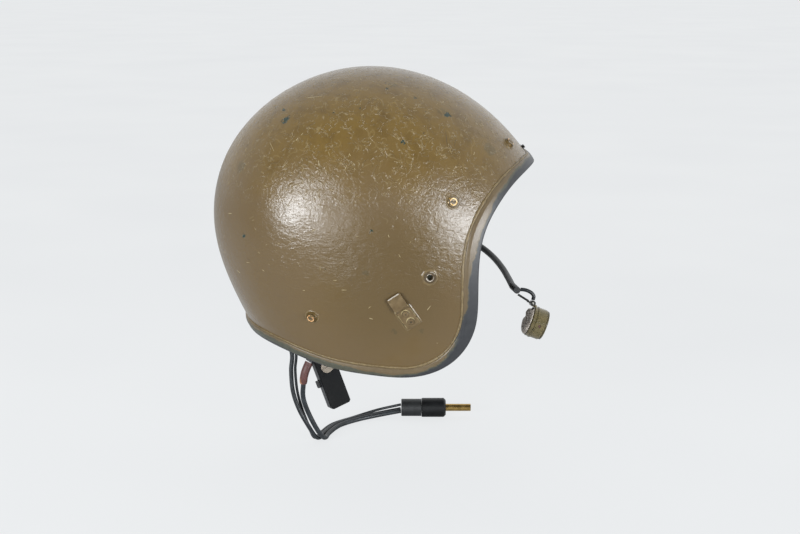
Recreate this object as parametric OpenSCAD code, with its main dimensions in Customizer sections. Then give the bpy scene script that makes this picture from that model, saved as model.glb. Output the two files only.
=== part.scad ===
// Open-face tank crew helmet with headset and boom microphone.
// Millimetres. +X is forward, +Y is the wearer's left, +Z is up.
// The origin is the middle of the wearer's head, between the two ear cups.

/* [Shell] */
// Half of the shell's outside width
half_width = 119; // [114:1:124]
// Squareness of the shell across, where 2 is an ellipse
squareness = 2.3; // [2.2:0.05:2.4]
// Shell wall
wall = 4; // [3:0.25:5]
// Middle of the shell behind the origin
middle_back = 26; // [24:1:28]
// Middle of the shell above the origin
middle_up = 20; // [18:1:22]
// Spline reach of the side outline, forward
reach_front = 169; // [165:1:173]
// Spline reach, 30 degrees up from forward
reach_brow = 147; // [144:1:151]
// Spline reach, 60 degrees up from forward
reach_forehead = 137; // [134:1:141]
// Spline reach, straight up
reach_crown = 133; // [130:1:138]
// Spline reach, 60 degrees up from the back
reach_back_top = 131; // [128:1:136]
// Spline reach, 30 degrees up from the back
reach_back_up = 135; // [132:1:139]
// Spline reach, straight back
reach_back = 133; // [130:1:137]
// Spline reach, 30 degrees down from the back
reach_nape = 127; // [124:1:131]

/* [Edge trim] */
// Width of the trim's outer leg around the back and brow
trim_leg = 8; // [7:0.5:9]
// Width of the trim's outer leg along the sides of the face
trim_leg_face = 13; // [10:0.5:13]
// Width of the trim's inner leg
trim_leg_in = 8; // [6:0.5:9]
// Rubber thickness
trim_rubber = 2.4; // [2:0.1:2.8]

/* [Lining] */
// Foam liner thickness
liner_thick = 8.5; // [7:0.5:9.5]
// Crown pad thickness
crown_pad_thick = 14; // [10:1:18]
// Brow pad thickness
brow_pad_thick = 10; // [8:1:13]
// Back pad thickness
back_pad_thick = 30; // [24:1:36]
// Side pad thickness
side_pad_thick = 18; // [14:1:22]

/* [Fasteners] */
// Radius of a slotted screw head
screw_head_r = 3.35; // [2.8:0.05:3.6]
// Radius of a cup washer
cup_r = 4.75; // [4.4:0.05:5.4]
// Radius of a screw shank
screw_r = 1.6; // [1.4:0.05:1.8]
// Bore radius of the boom eyelet
eyelet_r = 2.4; // [2.2:0.05:2.6]
// Flange radius of the boom eyelet
eyelet_flange_r = 5; // [4.6:0.1:5.6]
// Width of the lead clip
clip_wide = 12; // [10:0.5:14]

/* [Chin strap] */
// Width of the webbing
strap_wide = 18; // [16:1:20]
// Webbing thickness
strap_thick = 2; // [1.6:0.1:2.4]
// Length of the right half, from its rivet
strap_long = 80; // [74:1:90]
// Length of the left half, from its rivet
strap_short = 36; // [34:1:40]

/* [Headset] */
// Half of the distance between the ear seals
seal_half_gap = 74; // [72:1:76]
// Ear seal thickness
seal_thick = 16; // [14:0.5:17]
// Half length of an ear cup, front to back
cup_half_long = 31; // [29:0.5:32]
// Half height of an ear cup
cup_half_high = 41; // [38:0.5:42]
// Depth of an ear cup
cup_deep = 15.7; // [14.7:0.1:16.2]
// Radius of the ear cup guide post
post_r = 5; // [4:0.25:5.5]

/* [Boom and microphone] */
// Radius of the boom tube
boom_r = 3; // [2.5:0.1:3.4]
// Radius of the boom hub
hub_r = 10; // [9:0.5:11]
// Radius of the clamp knob
knob_r = 8.5; // [7.5:0.5:10]
// Radius of the microphone case
mic_r = 14; // [13:0.25:15]
// Depth of the microphone case
mic_deep = 13; // [12:0.25:14]

/* [Box under the nape] */
// Width of the terminal block inside the nape
block_wide = 34; // [30:1:38]
// Height of the terminal block
block_high = 16; // [14:1:17]
// Width of the box
box_wide = 20; // [18:0.5:22]
// Thickness of the box with its cover
box_thick = 11; // [10:0.5:12]
// Length of the box
box_long = 54; // [50:1:58]
// Travel of the talk button
button_travel = 1.5; // [1:0.1:2]

/* [Leads and plug] */
// Radius of the headset lead
lead_r = 2; // [1.8:0.05:2.1]
// Radius of the thin lead
thin_r = 1.3; // [1.2:0.05:1.4]
// Radius of the lead from the box
tail_r = 2.25; // [2.1:0.05:2.3]
// Radius of the lead of the microphone
mic_lead_r = 1.7; // [1.4:0.05:1.8]
// Radius of the plug's handle
plug_r = 9.5; // [9:0.25:10]
// Radius of the plug's barrel
barrel_r = 3.55; // [3.2:0.05:4]
// Length of the plug's barrel
barrel_long = 25; // [22:0.5:30]

/* [Hidden] */
$fn = 48;
seat_gap = 0.3;
soft_gap = 1.2;
run = 0.05;
side_gap = 0.1;
middle = [-middle_back, 0, middle_up];
pole = [-0.574, 0, 0.819];
floor_z = -200;
liner_out = -wall - 0.6;
liner_in = liner_out - liner_thick;
pad_base = liner_in - soft_gap;
edge_set = trim_rubber + 0.4;
reaches = [
  reach_front, reach_brow, reach_forehead, reach_crown,
  reach_back_top, reach_back_up, reach_back, reach_nape,
  147, 185, 204, 191];
// The outer line of the edge trim, brow centre to nape centre, right side
edge_line = [
  [126, 0, 72], [119, -33, 74], [104, -73, 68], [87, -94, 51],
  [73, -105, 29], [70, -109, 2], [70, -107, -26], [70, -103, -56],
  [53, -101, -86], [19, -102, -99], [-19, -105, -94], [-51, -101, -91],
  [-88, -89, -78], [-114, -65, -72], [-129, -33, -72], [-134, 0, -71]];
// The lower line of the foam liner: over the ears, then down behind them
liner_line = [
  [118, 0, 88], [112, -35, 88], [97, -68, 82], [79, -92, 62],
  [60, -102, 47], [35, -107, 44], [5, -109, 45], [-25, -108, 45],
  [-45, -108, 40], [-50, -107, 20], [-50, -106, -12], [-52, -103, -42],
  [-68, -94, -58], [-100, -70, -46], [-126, -34, -30], [-134, 0, -27]];
// Screw places on the right side, seen from the side
screw_places = [[47, 54], [-67, -41], [96.5, 92.5]];
hole_place = [29, -6];
stud_turn = 24.6;
block_turn = 213;
anchor_place = [40, -56];
strap_lean = -8;
clip_turn = -57;
clip_place = [11.5, -39.5];
cup_x = -8;
cup_z = -2;
cup_travel = 3.5;
seal_low = seal_half_gap;
cup_low = seal_low + seal_thick + seat_gap;
cup_top = cup_low + cup_deep;
bore_low = cup_low + 3.7;
phone_r = cup_half_long - 14;
// Stack on the boom's pivot, heights above the shell
washer_low = 1.5;
hub_low = washer_low + 1.5;
hub_top = hub_low + 6;
knob_low = hub_top + seat_gap;
knob_top = knob_low + 8;
boom_dip = -24;
// Hand-chosen route of the boom, hub to tip
boom_route = [
  [47.4, half_width + 0.1, -14], [60, half_width - 0.5, -19.6],
  [73.5, half_width - 2.6, -25.6], [86, half_width - 10.6, -31.4],
  [96, half_width - 28, -37], [102.6, 66, -41.6],
  [106.2, 40, -45], [108, 16, -46.6]];
tip_from = [108.1, 15.6, -46.6];
tip_to = [110.8, 3.8, -47.2];
loop_route = [
  [114.4, 4, -46.9], [117.4, 3.9, -47.1], [121, 3.8, -48.1],
  [124.4, 3.7, -50.1], [126.4, 3.6, -53.1], [125.9, 3.5, -56.5]];
mic_at = [128.5, 0, -77];
mic_y = [0.338, 0.225, 0.914];
mic_z = [-0.937, -0.011, 0.35];
lug_y = mic_r + 1.6;
lug_z = 9;
box_at = [-59.55, 1, -130.85];
box_y = [-0.4075, 0.902, -0.141];
box_z = [-0.327, 0, 0.945];
sleeve_route = [
  [-78.1, -3.1, -114], [-80.2, -4.6, -118.4], [-82, -5.2, -123.3],
  [-83.1, -5, -128.4], [-83.6, -4, -133.4]];
// Hand-chosen routes of the leads, helmet to plug
tail_route = [
  [-83.6, -3.9, -133.8], [-84.6, -0.6, -146], [-83.2, 2.4, -156],
  [-79.4, 5.4, -168], [-73.6, 8.8, -182], [-68.7, 15.4, -192.6],
  [-65.8, 24, -197.4], [-63, 36, -197.5], [-54, 56, -197.5],
  [-37, 72, -197.5], [-16, 81, -196], [5.7, 84.6, -193]];
lead_route = [
  [-123.2, 4, -55.1], [-115.8, 4.8, -70], [-104, 6, -87],
  [-94.8, 6.6, -107], [-95.6, 6.4, -125], [-94.3, 6, -145],
  [-88.8, 5.8, -163], [-80.6, 7.8, -180], [-74.6, 15.2, -193.2],
  [-70.9, 25, -197.6], [-67.6, 38, -197.7], [-58, 59.4, -197.7],
  [-39.4, 76.6, -197.7], [-17, 86, -196.4], [5.7, 89.6, -193]];
thin_route = [
  [-123.2, 10, -55.1], [-115.2, 10, -69], [-102, 10.2, -86],
  [-91.4, 9.2, -107], [-92, 8.6, -125], [-90.6, 8.6, -145],
  [-86.6, 9.8, -163], [-81.4, 12.8, -180], [-77.8, 18.6, -193.4],
  [-74.9, 26, -198.4], [-71.6, 39.4, -198.5], [-61.4, 62.4, -198.5],
  [-42, 80.6, -198.5], [-18, 89.8, -194], [5.7, 87.2, -187.4]];
plug_x = 6.3;
plug_y = 87.2;
plug_z = floor_z + plug_r + 0.1;
boot_long = 20;
handle_long = 24;

// Small helpers
function unit(v) = v / norm(v);
function spline4(a, b, c, d, u) =
  (pow(1 - u, 3) * a + (3 * u * u * u - 6 * u * u + 4) * b
  + (-3 * u * u * u + 3 * u * u + 3 * u + 1) * c + u * u * u * d) / 6;
function through4(a, b, c, d, u) =
  b + 0.5 * u * ((c - a) + u * ((2 * a - 5 * b + 4 * c - d)
  + u * (3 * (b - c) + d - a)));
function slerp(a, b, f) =
  let(w = acos(a * b)) (a * sin((1 - f) * w) + b * sin(f * w)) / sin(w);

// The shell's outer surface, met in direction d from its middle, moved out by off
function turn(d) = (atan2(d[2], d[0]) + 360) % 360;
function reach(a) =
  let(t = a / 30, i = floor(t))
  spline4(reaches[(i + 11) % 12], reaches[i % 12], reaches[(i + 1) % 12],
    reaches[(i + 2) % 12], t - i);
function level(d, off) =
  pow(norm([d[0], d[2]]) / (reach(turn(d)) + off), squareness)
  + pow(abs(d[1]) / (half_width + off), squareness);
function surf(d, off) = middle + d * pow(level(d, off), -1 / squareness);
function out(q) =
  let(d = q - middle, e = 0.5)
  unit([
    level(d + [e, 0, 0], 0) - level(d - [e, 0, 0], 0),
    level(d + [0, e, 0], 0) - level(d - [0, e, 0], 0),
    level(d + [0, 0, e], 0) - level(d - [0, 0, e], 0)]);
function side_at(p) =
  let(d = [p[0] + middle_back, 0, p[1] - middle_up],
    f = norm(d) / reach(turn(d)))
  [p[0], -half_width * pow(1 - pow(f, squareness), 1 / squareness), p[1]];

// A closed line of 16 control points for one half, mirrored for the other
function control(line, k) =
  let(j = (k + 30) % 30, m = j <= 15 ? j : 30 - j, p = line[m])
  j <= 15 ? p : [p[0], -p[1], p[2]];
function line_at(line, t) =
  let(i = floor(t))
  spline4(control(line, i - 1), control(line, i), control(line, i + 1),
    control(line, i + 2), t - i);
function line_points(line, n) =
  [for (i = [0:n - 1]) surf(line_at(line, i * 30 / n) - middle, 0)];
function inward(pts, i) =
  let(n = len(pts), t = unit(pts[(i + 1) % n] - pts[(i + n - 1) % n]))
  unit(cross(t, out(pts[i])));

// A closed skin over rings of points, ended by the points a and b
module skin(rings, a, b) {
  n = len(rings[0]);
  m = len(rings);
  last = n * m + 1;
  pts = concat([a], [for (r = rings) for (p = r) p], [b]);
  ends = concat(
    [for (j = [0:n - 1]) [0, 1 + j, 1 + (j + 1) % n]],
    [for (j = [0:n - 1])
      [last, 1 + (m - 1) * n + (j + 1) % n, 1 + (m - 1) * n + j]]);
  sides = [for (i = [0:m - 2]) for (j = [0:n - 1]) for (k = [0, 1])
    k == 0
    ? [1 + i * n + j, 1 + (i + 1) * n + j, 1 + (i + 1) * n + (j + 1) % n]
    : [1 + i * n + j, 1 + (i + 1) * n + (j + 1) % n, 1 + i * n + (j + 1) % n]];
  polyhedron(points = pts, faces = concat(ends, sides));
}

// A closed skin over a closed loop of section rings
module loop_skin(rings) {
  n = len(rings[0]);
  m = len(rings);
  pts = [for (r = rings) for (p = r) p];
  sides = [for (i = [0:m - 1]) for (j = [0:n - 1]) for (k = [0, 1])
    k == 0
    ? [i * n + j, ((i + 1) % m) * n + j, ((i + 1) % m) * n + (j + 1) % n]
    : [i * n + j, ((i + 1) % m) * n + (j + 1) % n, i * n + (j + 1) % n]];
  polyhedron(points = pts, faces = sides);
}

// A dome between two offsets of the surface, ending at a line of points
module dome(rim, rows, off_out, off_in) {
  dirs = [for (p = rim) unit(p - middle)];
  outer = [for (j = [1:rows])
    [for (d = dirs) surf(slerp(pole, d, j / rows), off_out)]];
  inner = [for (j = [rows:-1:1])
    [for (d = dirs) surf(slerp(pole, d, j / rows), off_in)]];
  skin(concat(outer, inner), surf(pole, off_out), surf(pole, off_in));
}

// A round tube along route points, k steps between each two
function route_at(pts, i, u) =
  let(n = len(pts) - 1)
  through4(
    i > 0 ? pts[i - 1] : 2 * pts[0] - pts[1], pts[i], pts[i + 1],
    i < n - 1 ? pts[i + 2] : 2 * pts[n] - pts[n - 1], u);
function route(pts, k) =
  concat(
    [for (i = [0:len(pts) - 2]) for (j = [0:k - 1]) route_at(pts, i, j / k)],
    [pts[len(pts) - 1]]);
module tube(pts, r, sides, k, aside) {
  c = route(pts, k);
  n = len(c) - 1;
  rings = [for (i = [0:n])
    let(t = unit(c[min(i + 1, n)] - c[max(i - 1, 0)]),
      u = unit(cross(t, aside)), v = cross(t, u))
    [for (j = [0:sides - 1])
      c[i] + r * (cos(360 * j / sides) * u + sin(360 * j / sides) * v)]];
  skin(rings, c[0], c[n]);
}

// Put children with their Z along the shell's outward normal at point q
module seat(q) {
  n = out(q);
  v = unit(cross(n, [1, 0, 0]));
  u = cross(v, n);
  multmatrix([
    [u[0], v[0], n[0], q[0]],
    [u[1], v[1], n[1], q[1]],
    [u[2], v[2], n[2], q[2]],
    [0, 0, 0, 1]])
    children();
}
module axes(at, up, way) {
  z = unit(way);
  x = unit(cross(up, z));
  y = cross(z, x);
  multmatrix([
    [x[0], y[0], z[0], at[0]],
    [x[1], y[1], z[1], at[1]],
    [x[2], y[2], z[2], at[2]],
    [0, 0, 0, 1]])
    children();
}
module along(a, b) {
  axes(a, [0, 0, 1], b - a) children();
}
module left() {
  mirror([0, 1, 0]) children();
}
module both() {
  children();
  left() children();
}
module at_screws() {
  for (p = screw_places) {
    seat(side_at(p)) children();
  }
}
module rod(r, low, high) {
  translate([0, 0, low]) cylinder(r = r, h = high - low);
}
module ring(r, hole, low, high) {
  difference() {
    rod(r, low, high);
    rod(hole, low - 1, high + 1);
  }
}
module block(x, y, low, high) {
  translate([-x / 2, -y / 2, low]) cube([x, y, high - low]);
}

// Shell
edge_pts = line_points(edge_line, 90);
edge_in = [for (i = [0:89]) inward(edge_pts, i)];
function edge_point(i, s, off) = surf(edge_pts[i] + edge_in[i] * s - middle, off);
module shell() {
  color([0.35, 0.29, 0.17])
  difference() {
    dome([for (i = [0:89]) edge_point(i, edge_set, 0)], 18, 0, -wall);
    both() {
      at_screws() rod(screw_r + 0.3, -wall - 8, 4);
      seat(side_at(hole_place)) rod(eyelet_r + 0.9, -wall - 8, 4);
      seat(side_at(clip_place)) rotate([0, 0, clip_turn]) {
        translate([-4, 0, 0]) rod(1.25, -wall - 8, 4);
        translate([4, 0, 0]) rod(1.25, -wall - 8, 4);
      }
    }
    seat(surf([cos(stud_turn), 0, sin(stud_turn)], 0)) rod(1.7, -wall - 8, 4);
  }
}

// Edge trim, a rubber U over the shell's rim
function leg(i) =
  trim_leg + (trim_leg_face - trim_leg)
  * max(0, -edge_in[i][0]) * abs(out(edge_pts[i])[1]);
module edge_trim() {
  top = seat_gap + 0.15;
  low = -wall - seat_gap - 0.15;
  rings = [for (i = [0:89])
    let(w = leg(i))
    [for (p = [
      [w, top], [w, top + trim_rubber * 0.6], [w - 1.6, top + trim_rubber],
      [2, top + trim_rubber], [0.4, top + trim_rubber * 0.55],
      [0, -wall / 2], [0.5, low - trim_rubber * 0.6], [2.2, low - trim_rubber],
      [trim_leg_in - 1, low - trim_rubber], [trim_leg_in, low - trim_rubber * 0.5],
      [trim_leg_in, low], [edge_set - seat_gap, low],
      [edge_set - seat_gap, top]])
      edge_point(i, p[0], p[1])]];
  color([0.05, 0.05, 0.05]) loop_skin(rings);
}

// Lining
module liner() {
  color([0.2, 0.2, 0.2])
  difference() {
    dome(line_points(liner_line, 50), 11, liner_out, liner_in);
    both() at_screws() rod(6.6, -wall - 6.2, 0);
    seat(surf([cos(stud_turn), 0, sin(stud_turn)], 0)) rod(5.6, -wall - 6.2, 0);
  }
}
function pad_dir(a, b) = [cos(b) * cos(a), -sin(b), cos(b) * sin(a)];
function bent(v, e) = sign(v) * pow(abs(v), e);
module pad(a, b, ha, hb, thick) {
  steps = 24;
  base = [for (f = [0.35, 0.68, 1])
    [for (j = [0:steps - 1])
      let(t = -360 * j / steps)
      surf(pad_dir(a + ha * f * bent(cos(t), 0.7),
        b + hb * f * bent(sin(t), 0.7)), pad_base)]];
  top = [for (g = [[1, 0.5], [0.93, 0.8], [0.75, 0.94], [0.4, 1]])
    [for (j = [0:steps - 1])
      let(t = -360 * j / steps)
      surf(pad_dir(a + ha * g[0] * bent(cos(t), 0.7),
        b + hb * g[0] * bent(sin(t), 0.7)), pad_base - thick * g[1])]];
  skin(concat(base, top), surf(pad_dir(a, b), pad_base),
    surf(pad_dir(a, b), pad_base - thick));
}
module crown_pad() {
  color([0.16, 0.15, 0.13]) pad(103, 0, 32, 24, crown_pad_thick);
}
module brow_pad() {
  color([0.16, 0.15, 0.13]) pad(47, 0, 13, 27, brow_pad_thick);
}
module back_pad() {
  color([0.16, 0.15, 0.13]) pad(181, 0, 22, 27, back_pad_thick);
}
module side_pads() {
  color([0.16, 0.15, 0.13]) both() pad(92, 49, 34, 13, side_pad_thick);
}

// Fasteners through the shell
module slot_head(r, low, high, slot) {
  difference() {
    rod(r, low, high);
    translate([-r - 1, -slot / 2, high - 0.8]) cube([2 * r + 2, slot, 2]);
  }
}
module liner_screws() {
  color([0.72, 0.53, 0.2]) both() at_screws() {
    slot_head(screw_head_r, 1.45, 2.7, 1);
    rod(screw_r, -wall - 4, 1.5);
  }
}
module cup_washers() {
  color([0.6, 0.46, 0.2]) both() at_screws()
    rotate_extrude()
      polygon([
        [screw_r + 0.15, 0.25], [cup_r, 0.25], [cup_r, 0.6], [cup_r - 0.6, 1.9],
        [cup_r - 1, 1.9], [cup_r - 1.3, 1.15], [screw_r + 0.15, 1.15]]);
}
module screw_nuts() {
  color([0.55, 0.55, 0.55]) both() at_screws() {
    ring(5, screw_r + 0.1, -wall - 1.7, -wall - 0.7);
    difference() {
      translate([0, 0, -wall - 3.9]) cylinder(r = 3.9, h = 2.4, $fn = 6);
      rod(screw_r + 0.1, -wall - 5, 0);
    }
  }
}
module brow_stud() {
  color([0.09, 0.09, 0.08])
  seat(surf([cos(stud_turn), 0, sin(stud_turn)], 0)) {
    rotate_extrude()
      polygon([
        [0, -wall - 2.6], [1.5, -wall - 2.6], [1.5, 0.2], [2.6, 0.2], [2.6, 0.6],
        [1.4, 0.9], [1.4, 1.4], [1.8, 1.7], [1.8, 2.1], [1.3, 2.4], [0, 2.4]]);
    ring(4.6, 1.45, -wall - 1.6, -wall - 0.6);
  }
}
module eyelet() {
  seat(side_at(hole_place))
    rotate_extrude()
      polygon([
        [eyelet_r, -wall - 1.3], [eyelet_flange_r - 0.4, -wall - 1.3],
        [eyelet_flange_r - 0.4, -wall - 0.5], [eyelet_r + 0.7, -wall - 0.5],
        [eyelet_r + 0.7, 0.3], [eyelet_flange_r, 0.3], [eyelet_flange_r, 0.8],
        [eyelet_flange_r - 0.25, 1.1], [eyelet_flange_r - 0.6, 1.1],
        [eyelet_flange_r - 0.8, 0.7], [eyelet_r + 0.8, 0.7],
        [eyelet_r + 0.6, 1.2], [eyelet_r + 0.25, 1.2], [eyelet_r, 0.8]]);
}
module eyelet_right() {
  color([0.5, 0.45, 0.36]) eyelet();
}
module eyelet_left() {
  color([0.5, 0.45, 0.36]) left() eyelet();
}
function fall(s) = -s * s / 228;
module lead_clip() {
  t = 1.1;
  low = [for (p = [
    [9, 0.35], [2, 0.35], [-5, 0.35], [-8.4, 0.4], [-11, 2.6], [-16, 2.7],
    [-20, 2.6], [-22.6, 3]]) [p[0], p[1] + fall(p[0])]];
  high = [for (p = [
    [-22.2, 4.3], [-19.6, 3.8], [-16, 3.8], [-10.4, 3.7], [-7.6, 1.5],
    [-5, 1.45], [2, 1.45], [9, 1.45]]) [p[0], p[1] + fall(p[0])]];
  seat(side_at(clip_place)) rotate([0, 0, clip_turn])
    difference() {
      rotate([90, 0, 0]) translate([0, 0, -clip_wide / 2])
        linear_extrude(clip_wide) polygon(concat(low, high));
      translate([-4, 0, 0]) rod(1.3, -2, 4);
      translate([4, 0, 0]) rod(1.3, -2, 4);
    }
}
module lead_clip_right() {
  color([0.38, 0.33, 0.2]) lead_clip();
}
module lead_clip_left() {
  color([0.38, 0.33, 0.2]) left() lead_clip();
}
module clip_rivet() {
  rotate_extrude()
    polygon([
      [0, -wall - 1.6], [2.2, -wall - 1.6], [2.2, -wall - 0.5],
      [1.15, -wall - 0.5], [1.15, 1.6], [2.7, 1.6], [2.7, 1.9], [2, 2.6],
      [0, 2.8]]);
}
module clip_rivets() {
  color([0.42, 0.36, 0.24]) both() seat(side_at(clip_place))
    rotate([0, 0, clip_turn]) {
      translate([-4, 0, fall(4)]) clip_rivet();
      translate([4, 0, fall(4)]) clip_rivet();
    }
}

// Headset, right side; local Z points outward along the ear axis
module ear() {
  translate([cup_x, 0, cup_z]) rotate([90, 0, 0]) children();
}
function oval(a, b, z, n, way) =
  [for (j = [0:n - 1])
    let(t = way * 360 * j / n) [a * bent(cos(t), 0.8), b * bent(sin(t), 0.8), z]];
module cup_hanger() {
  q = side_at([cup_x, cup_z]);
  seat(q) rod(12, -wall - 2.5, -wall - 0.9);
  ear() rod(post_r, bore_low + cup_travel + 1, -q[1] - wall - 1.7);
}
module cup_hanger_right() {
  color([0.5, 0.5, 0.5]) cup_hanger();
}
module cup_hanger_left() {
  color([0.5, 0.5, 0.5]) left() cup_hanger();
}
module ear_cup() {
  a = cup_half_long;
  b = cup_half_high;
  z = cup_low;
  n = 28;
  ear() difference() {
    union() {
      skin([
        oval(a - 16, b - 19, z + cup_deep, n, -1),
        oval(a - 7, b - 8, z + cup_deep - 2.5, n, -1),
        oval(a - 2.5, b - 2.5, z + cup_deep - 6, n, -1),
        oval(a, b, z + 4.7, n, -1), oval(a, b, z, n, -1),
        oval(a - 2.5, b - 2.5, z, n, -1), oval(a - 2.5, b - 2.5, z + 4.7, n, -1),
        oval(a - 5, b - 5, z + cup_deep - 7.6, n, -1),
        oval(a - 16, b - 19, z + cup_deep - 5.2, n, -1)],
        [0, 0, z + cup_deep], [0, 0, z + cup_deep - 5.2]);
      rod(8.5, z + 2.7, cup_top - 3);
    }
    rod(post_r + run, bore_low, cup_top + 5);
  }
}
module ear_cup_right() {
  color([0.07, 0.07, 0.07]) ear_cup();
}
module ear_cup_left() {
  color([0.07, 0.07, 0.07]) left() ear_cup();
}
module ear_seal() {
  n = 28;
  h = seal_thick / 2;
  section = [for (k = [0:7])
    [7 * bent(cos(45 * k + 22.5), 0.75), h * bent(sin(45 * k + 22.5), 0.75)]];
  tall = max([for (p = section) p[1]]);
  rings = [for (i = [0:n - 1])
    let(t = 360 * i / n)
    [for (p = section)
      [(cup_half_long - 5 + p[0]) * bent(cos(t), 0.8),
        (cup_half_high - 5 + p[0]) * bent(sin(t), 0.8),
        seal_low + h + p[1] * h / tall]]];
  ear() loop_skin(rings);
}
module ear_seal_right() {
  color([0.1, 0.1, 0.1]) ear_seal();
}
module ear_seal_left() {
  color([0.1, 0.1, 0.1]) left() ear_seal();
}
module earphone() {
  ear() {
    rod(phone_r - 1, cup_low - 5.6, cup_low + 2.4);
    difference() {
      rod(phone_r, cup_low - 6.8, cup_low - 5);
      for (t = [0:60:300]) {
        rotate([0, 0, t]) translate([phone_r - 9, 0, 0]) rod(1.4, 0, cup_low + 9);
      }
    }
  }
}
module earphone_right() {
  color([0.12, 0.12, 0.13]) earphone();
}
module earphone_left() {
  color([0.12, 0.12, 0.13]) left() earphone();
}
module earphone_foam_right() {
  color([0.2, 0.2, 0.2]) ear() rod(phone_r + 0.2, cup_low - 10, cup_low - 7.1);
}
module earphone_foam_left() {
  color([0.2, 0.2, 0.2]) left() ear() rod(phone_r + 0.2, cup_low - 10, cup_low - 7.1);
}

// Boom on the left side
module pivot() {
  left() seat(side_at(hole_place)) children();
}
module socket() {
  pivot() rotate([0, 0, boom_dip]) translate([0, 0, hub_low + 4.2])
    rotate([0, 90, 0]) children();
}
module boom_screw() {
  color([0.45, 0.45, 0.44]) pivot() {
    rod(5, -wall - 3.4, -wall - 1.7);
    rod(eyelet_r - side_gap, -wall - 1.8, knob_top - 2.4);
  }
}
module boom_washer() {
  color([0.08, 0.08, 0.08]) pivot()
    ring(hub_r - 1, eyelet_r + 0.1, washer_low, washer_low + 1.2);
}
module boom_hub() {
  color([0.1, 0.1, 0.1]) {
    difference() {
      union() {
        pivot() rod(hub_r, hub_low, hub_top);
        socket() rod(boom_r + 1, 9.2, 18.8);
      }
      pivot() rod(eyelet_r - side_gap + run, -1, hub_top + 20);
      socket() rod(boom_r + 0.15, 11.6, 30);
    }
  }
}
module boom_arm() {
  color([0.12, 0.12, 0.12]) {
    tube(boom_route, boom_r, 12, 3, [0, 0, 1]);
    socket() rod(boom_r, 11.9, 19.4);
  }
}
module boom_knob() {
  color([0.1, 0.1, 0.1]) pivot() difference() {
    union() {
      rod(knob_r, knob_low, knob_top - 1);
      rod(knob_r - 1, knob_top - 2, knob_top);
    }
    rod(eyelet_r - side_gap + run, knob_low - 1, knob_top - 2.1);
    for (t = [0:30:330]) {
      rotate([0, 0, t]) translate([knob_r + 0.9, 0, 0]) rod(1.5, knob_low - 1, knob_top + 1);
    }
  }
}
module boom_tip() {
  color([0.1, 0.1, 0.1]) along(tip_from, tip_to) {
    rod(boom_r + 0.2, 0.3, norm(tip_to - tip_from) + 1.6);
  }
}

// Microphone; local Z points from its back to its front
module mic() {
  axes(mic_at, mic_y, mic_z) children();
}
module cross_rod(r, low, high) {
  translate([0, lug_y, lug_z]) rotate([0, 90, 0]) rod(r, low, high);
}
module mic_yoke() {
  color([0.15, 0.15, 0.15]) {
    mic() difference() {
      union() {
        cross_rod(2.4, 2.5, 3.9);
        cross_rod(2.4, -3.9, -2.5);
        translate([-3.9, lug_y - 0.7, lug_z + 1.6]) cube([7.8, 1.4, 3]);
        translate([-3.9, lug_y - 0.7, lug_z]) cube([1.4, 1.4, 4.6]);
        translate([2.5, lug_y - 0.7, lug_z]) cube([1.4, 1.4, 4.6]);
      }
      cross_rod(2.85, -2.5, 2.5);
      cross_rod(1.05, -5, 5);
    }
    tube([[112.2, 4, -51.6], [117.4, 3.8, -54.9], [121.9, 3.5, -57.7]],
      1, 8, 2, [0, 1, 0]);
  }
}
module mic_pin() {
  color([0.5, 0.5, 0.48]) mic() cross_rod(1, -4.4, 4.4);
}
module mic_lead() {
  color([0.1, 0.1, 0.1]) tube(loop_route, mic_lead_r, 8, 2, [0, 1, 0]);
}
module mic_case() {
  r = mic_r;
  h = mic_deep / 2;
  color([0.33, 0.3, 0.17]) mic() difference() {
    union() {
      rotate_extrude()
        polygon([
          [0, 0], [r - 1.8, 0], [r - 1.8, -h], [r - 0.6, -h], [r, -h + 0.6],
          [r, 1.4], [r + 0.5, 1.8], [r + 0.5, 2.8], [r, 3.2], [r, h - 0.6],
          [r - 0.6, h], [r - 1.8, h], [r - 1.8, 1.6], [0, 1.6]]);
      translate([-2, r - 1.2, 4.6]) cube([4, 2.2, lug_z - 4.6]);
      cross_rod(2.5, -2, 2);
    }
    cross_rod(1 + run, -5, 5);
    rotate([0, 0, -9.5]) translate([0, 0, -1.5]) rotate([0, 90, 0])
      rod(1.3, r - 3, r + 3);
    for (t = [0:60:300]) {
      rotate([0, 0, t]) translate([7, 0, 0]) rod(1.2, -1, 3);
    }
  }
}
module mic_front() {
  r = mic_r - 0.8;
  h = mic_deep / 2 + seat_gap;
  color([0.4, 0.38, 0.36]) mic() difference() {
    rotate_extrude()
      polygon([
        [0, h], [r, h], [r + 0.3, h + 1], [r, h + 2.6], [r - 1.4, h + 4.2],
        [r - 4, h + 5.2], [0, h + 5.6]]);
    translate([-r - 1, -1.4, h + 4]) cube([2 * r + 2, 2.8, 4]);
    translate([-5, lug_y - 5.4, h - 1]) cube([10, 12, 8]);
  }
}
module mic_element() {
  color([0.5, 0.48, 0.4]) mic() rod(mic_r - 2.4, -5.2, -0.3);
}
module mic_back() {
  h = mic_deep / 2;
  color([0.3, 0.27, 0.16]) mic() difference() {
    rod(mic_r - 0.7, -h - 1.6, -h - seat_gap);
    translate([-5, -0.6, -h - 2]) cube([10, 1.2, 0.9]);
  }
}
module mic_screw() {
  color([0.3, 0.16, 0.1]) mic() rotate([0, 0, -9.5]) translate([0, 0, -1.5])
    rotate([0, 90, 0]) rod(1.2, mic_r - 1.6, mic_r - 0.5);
}

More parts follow.
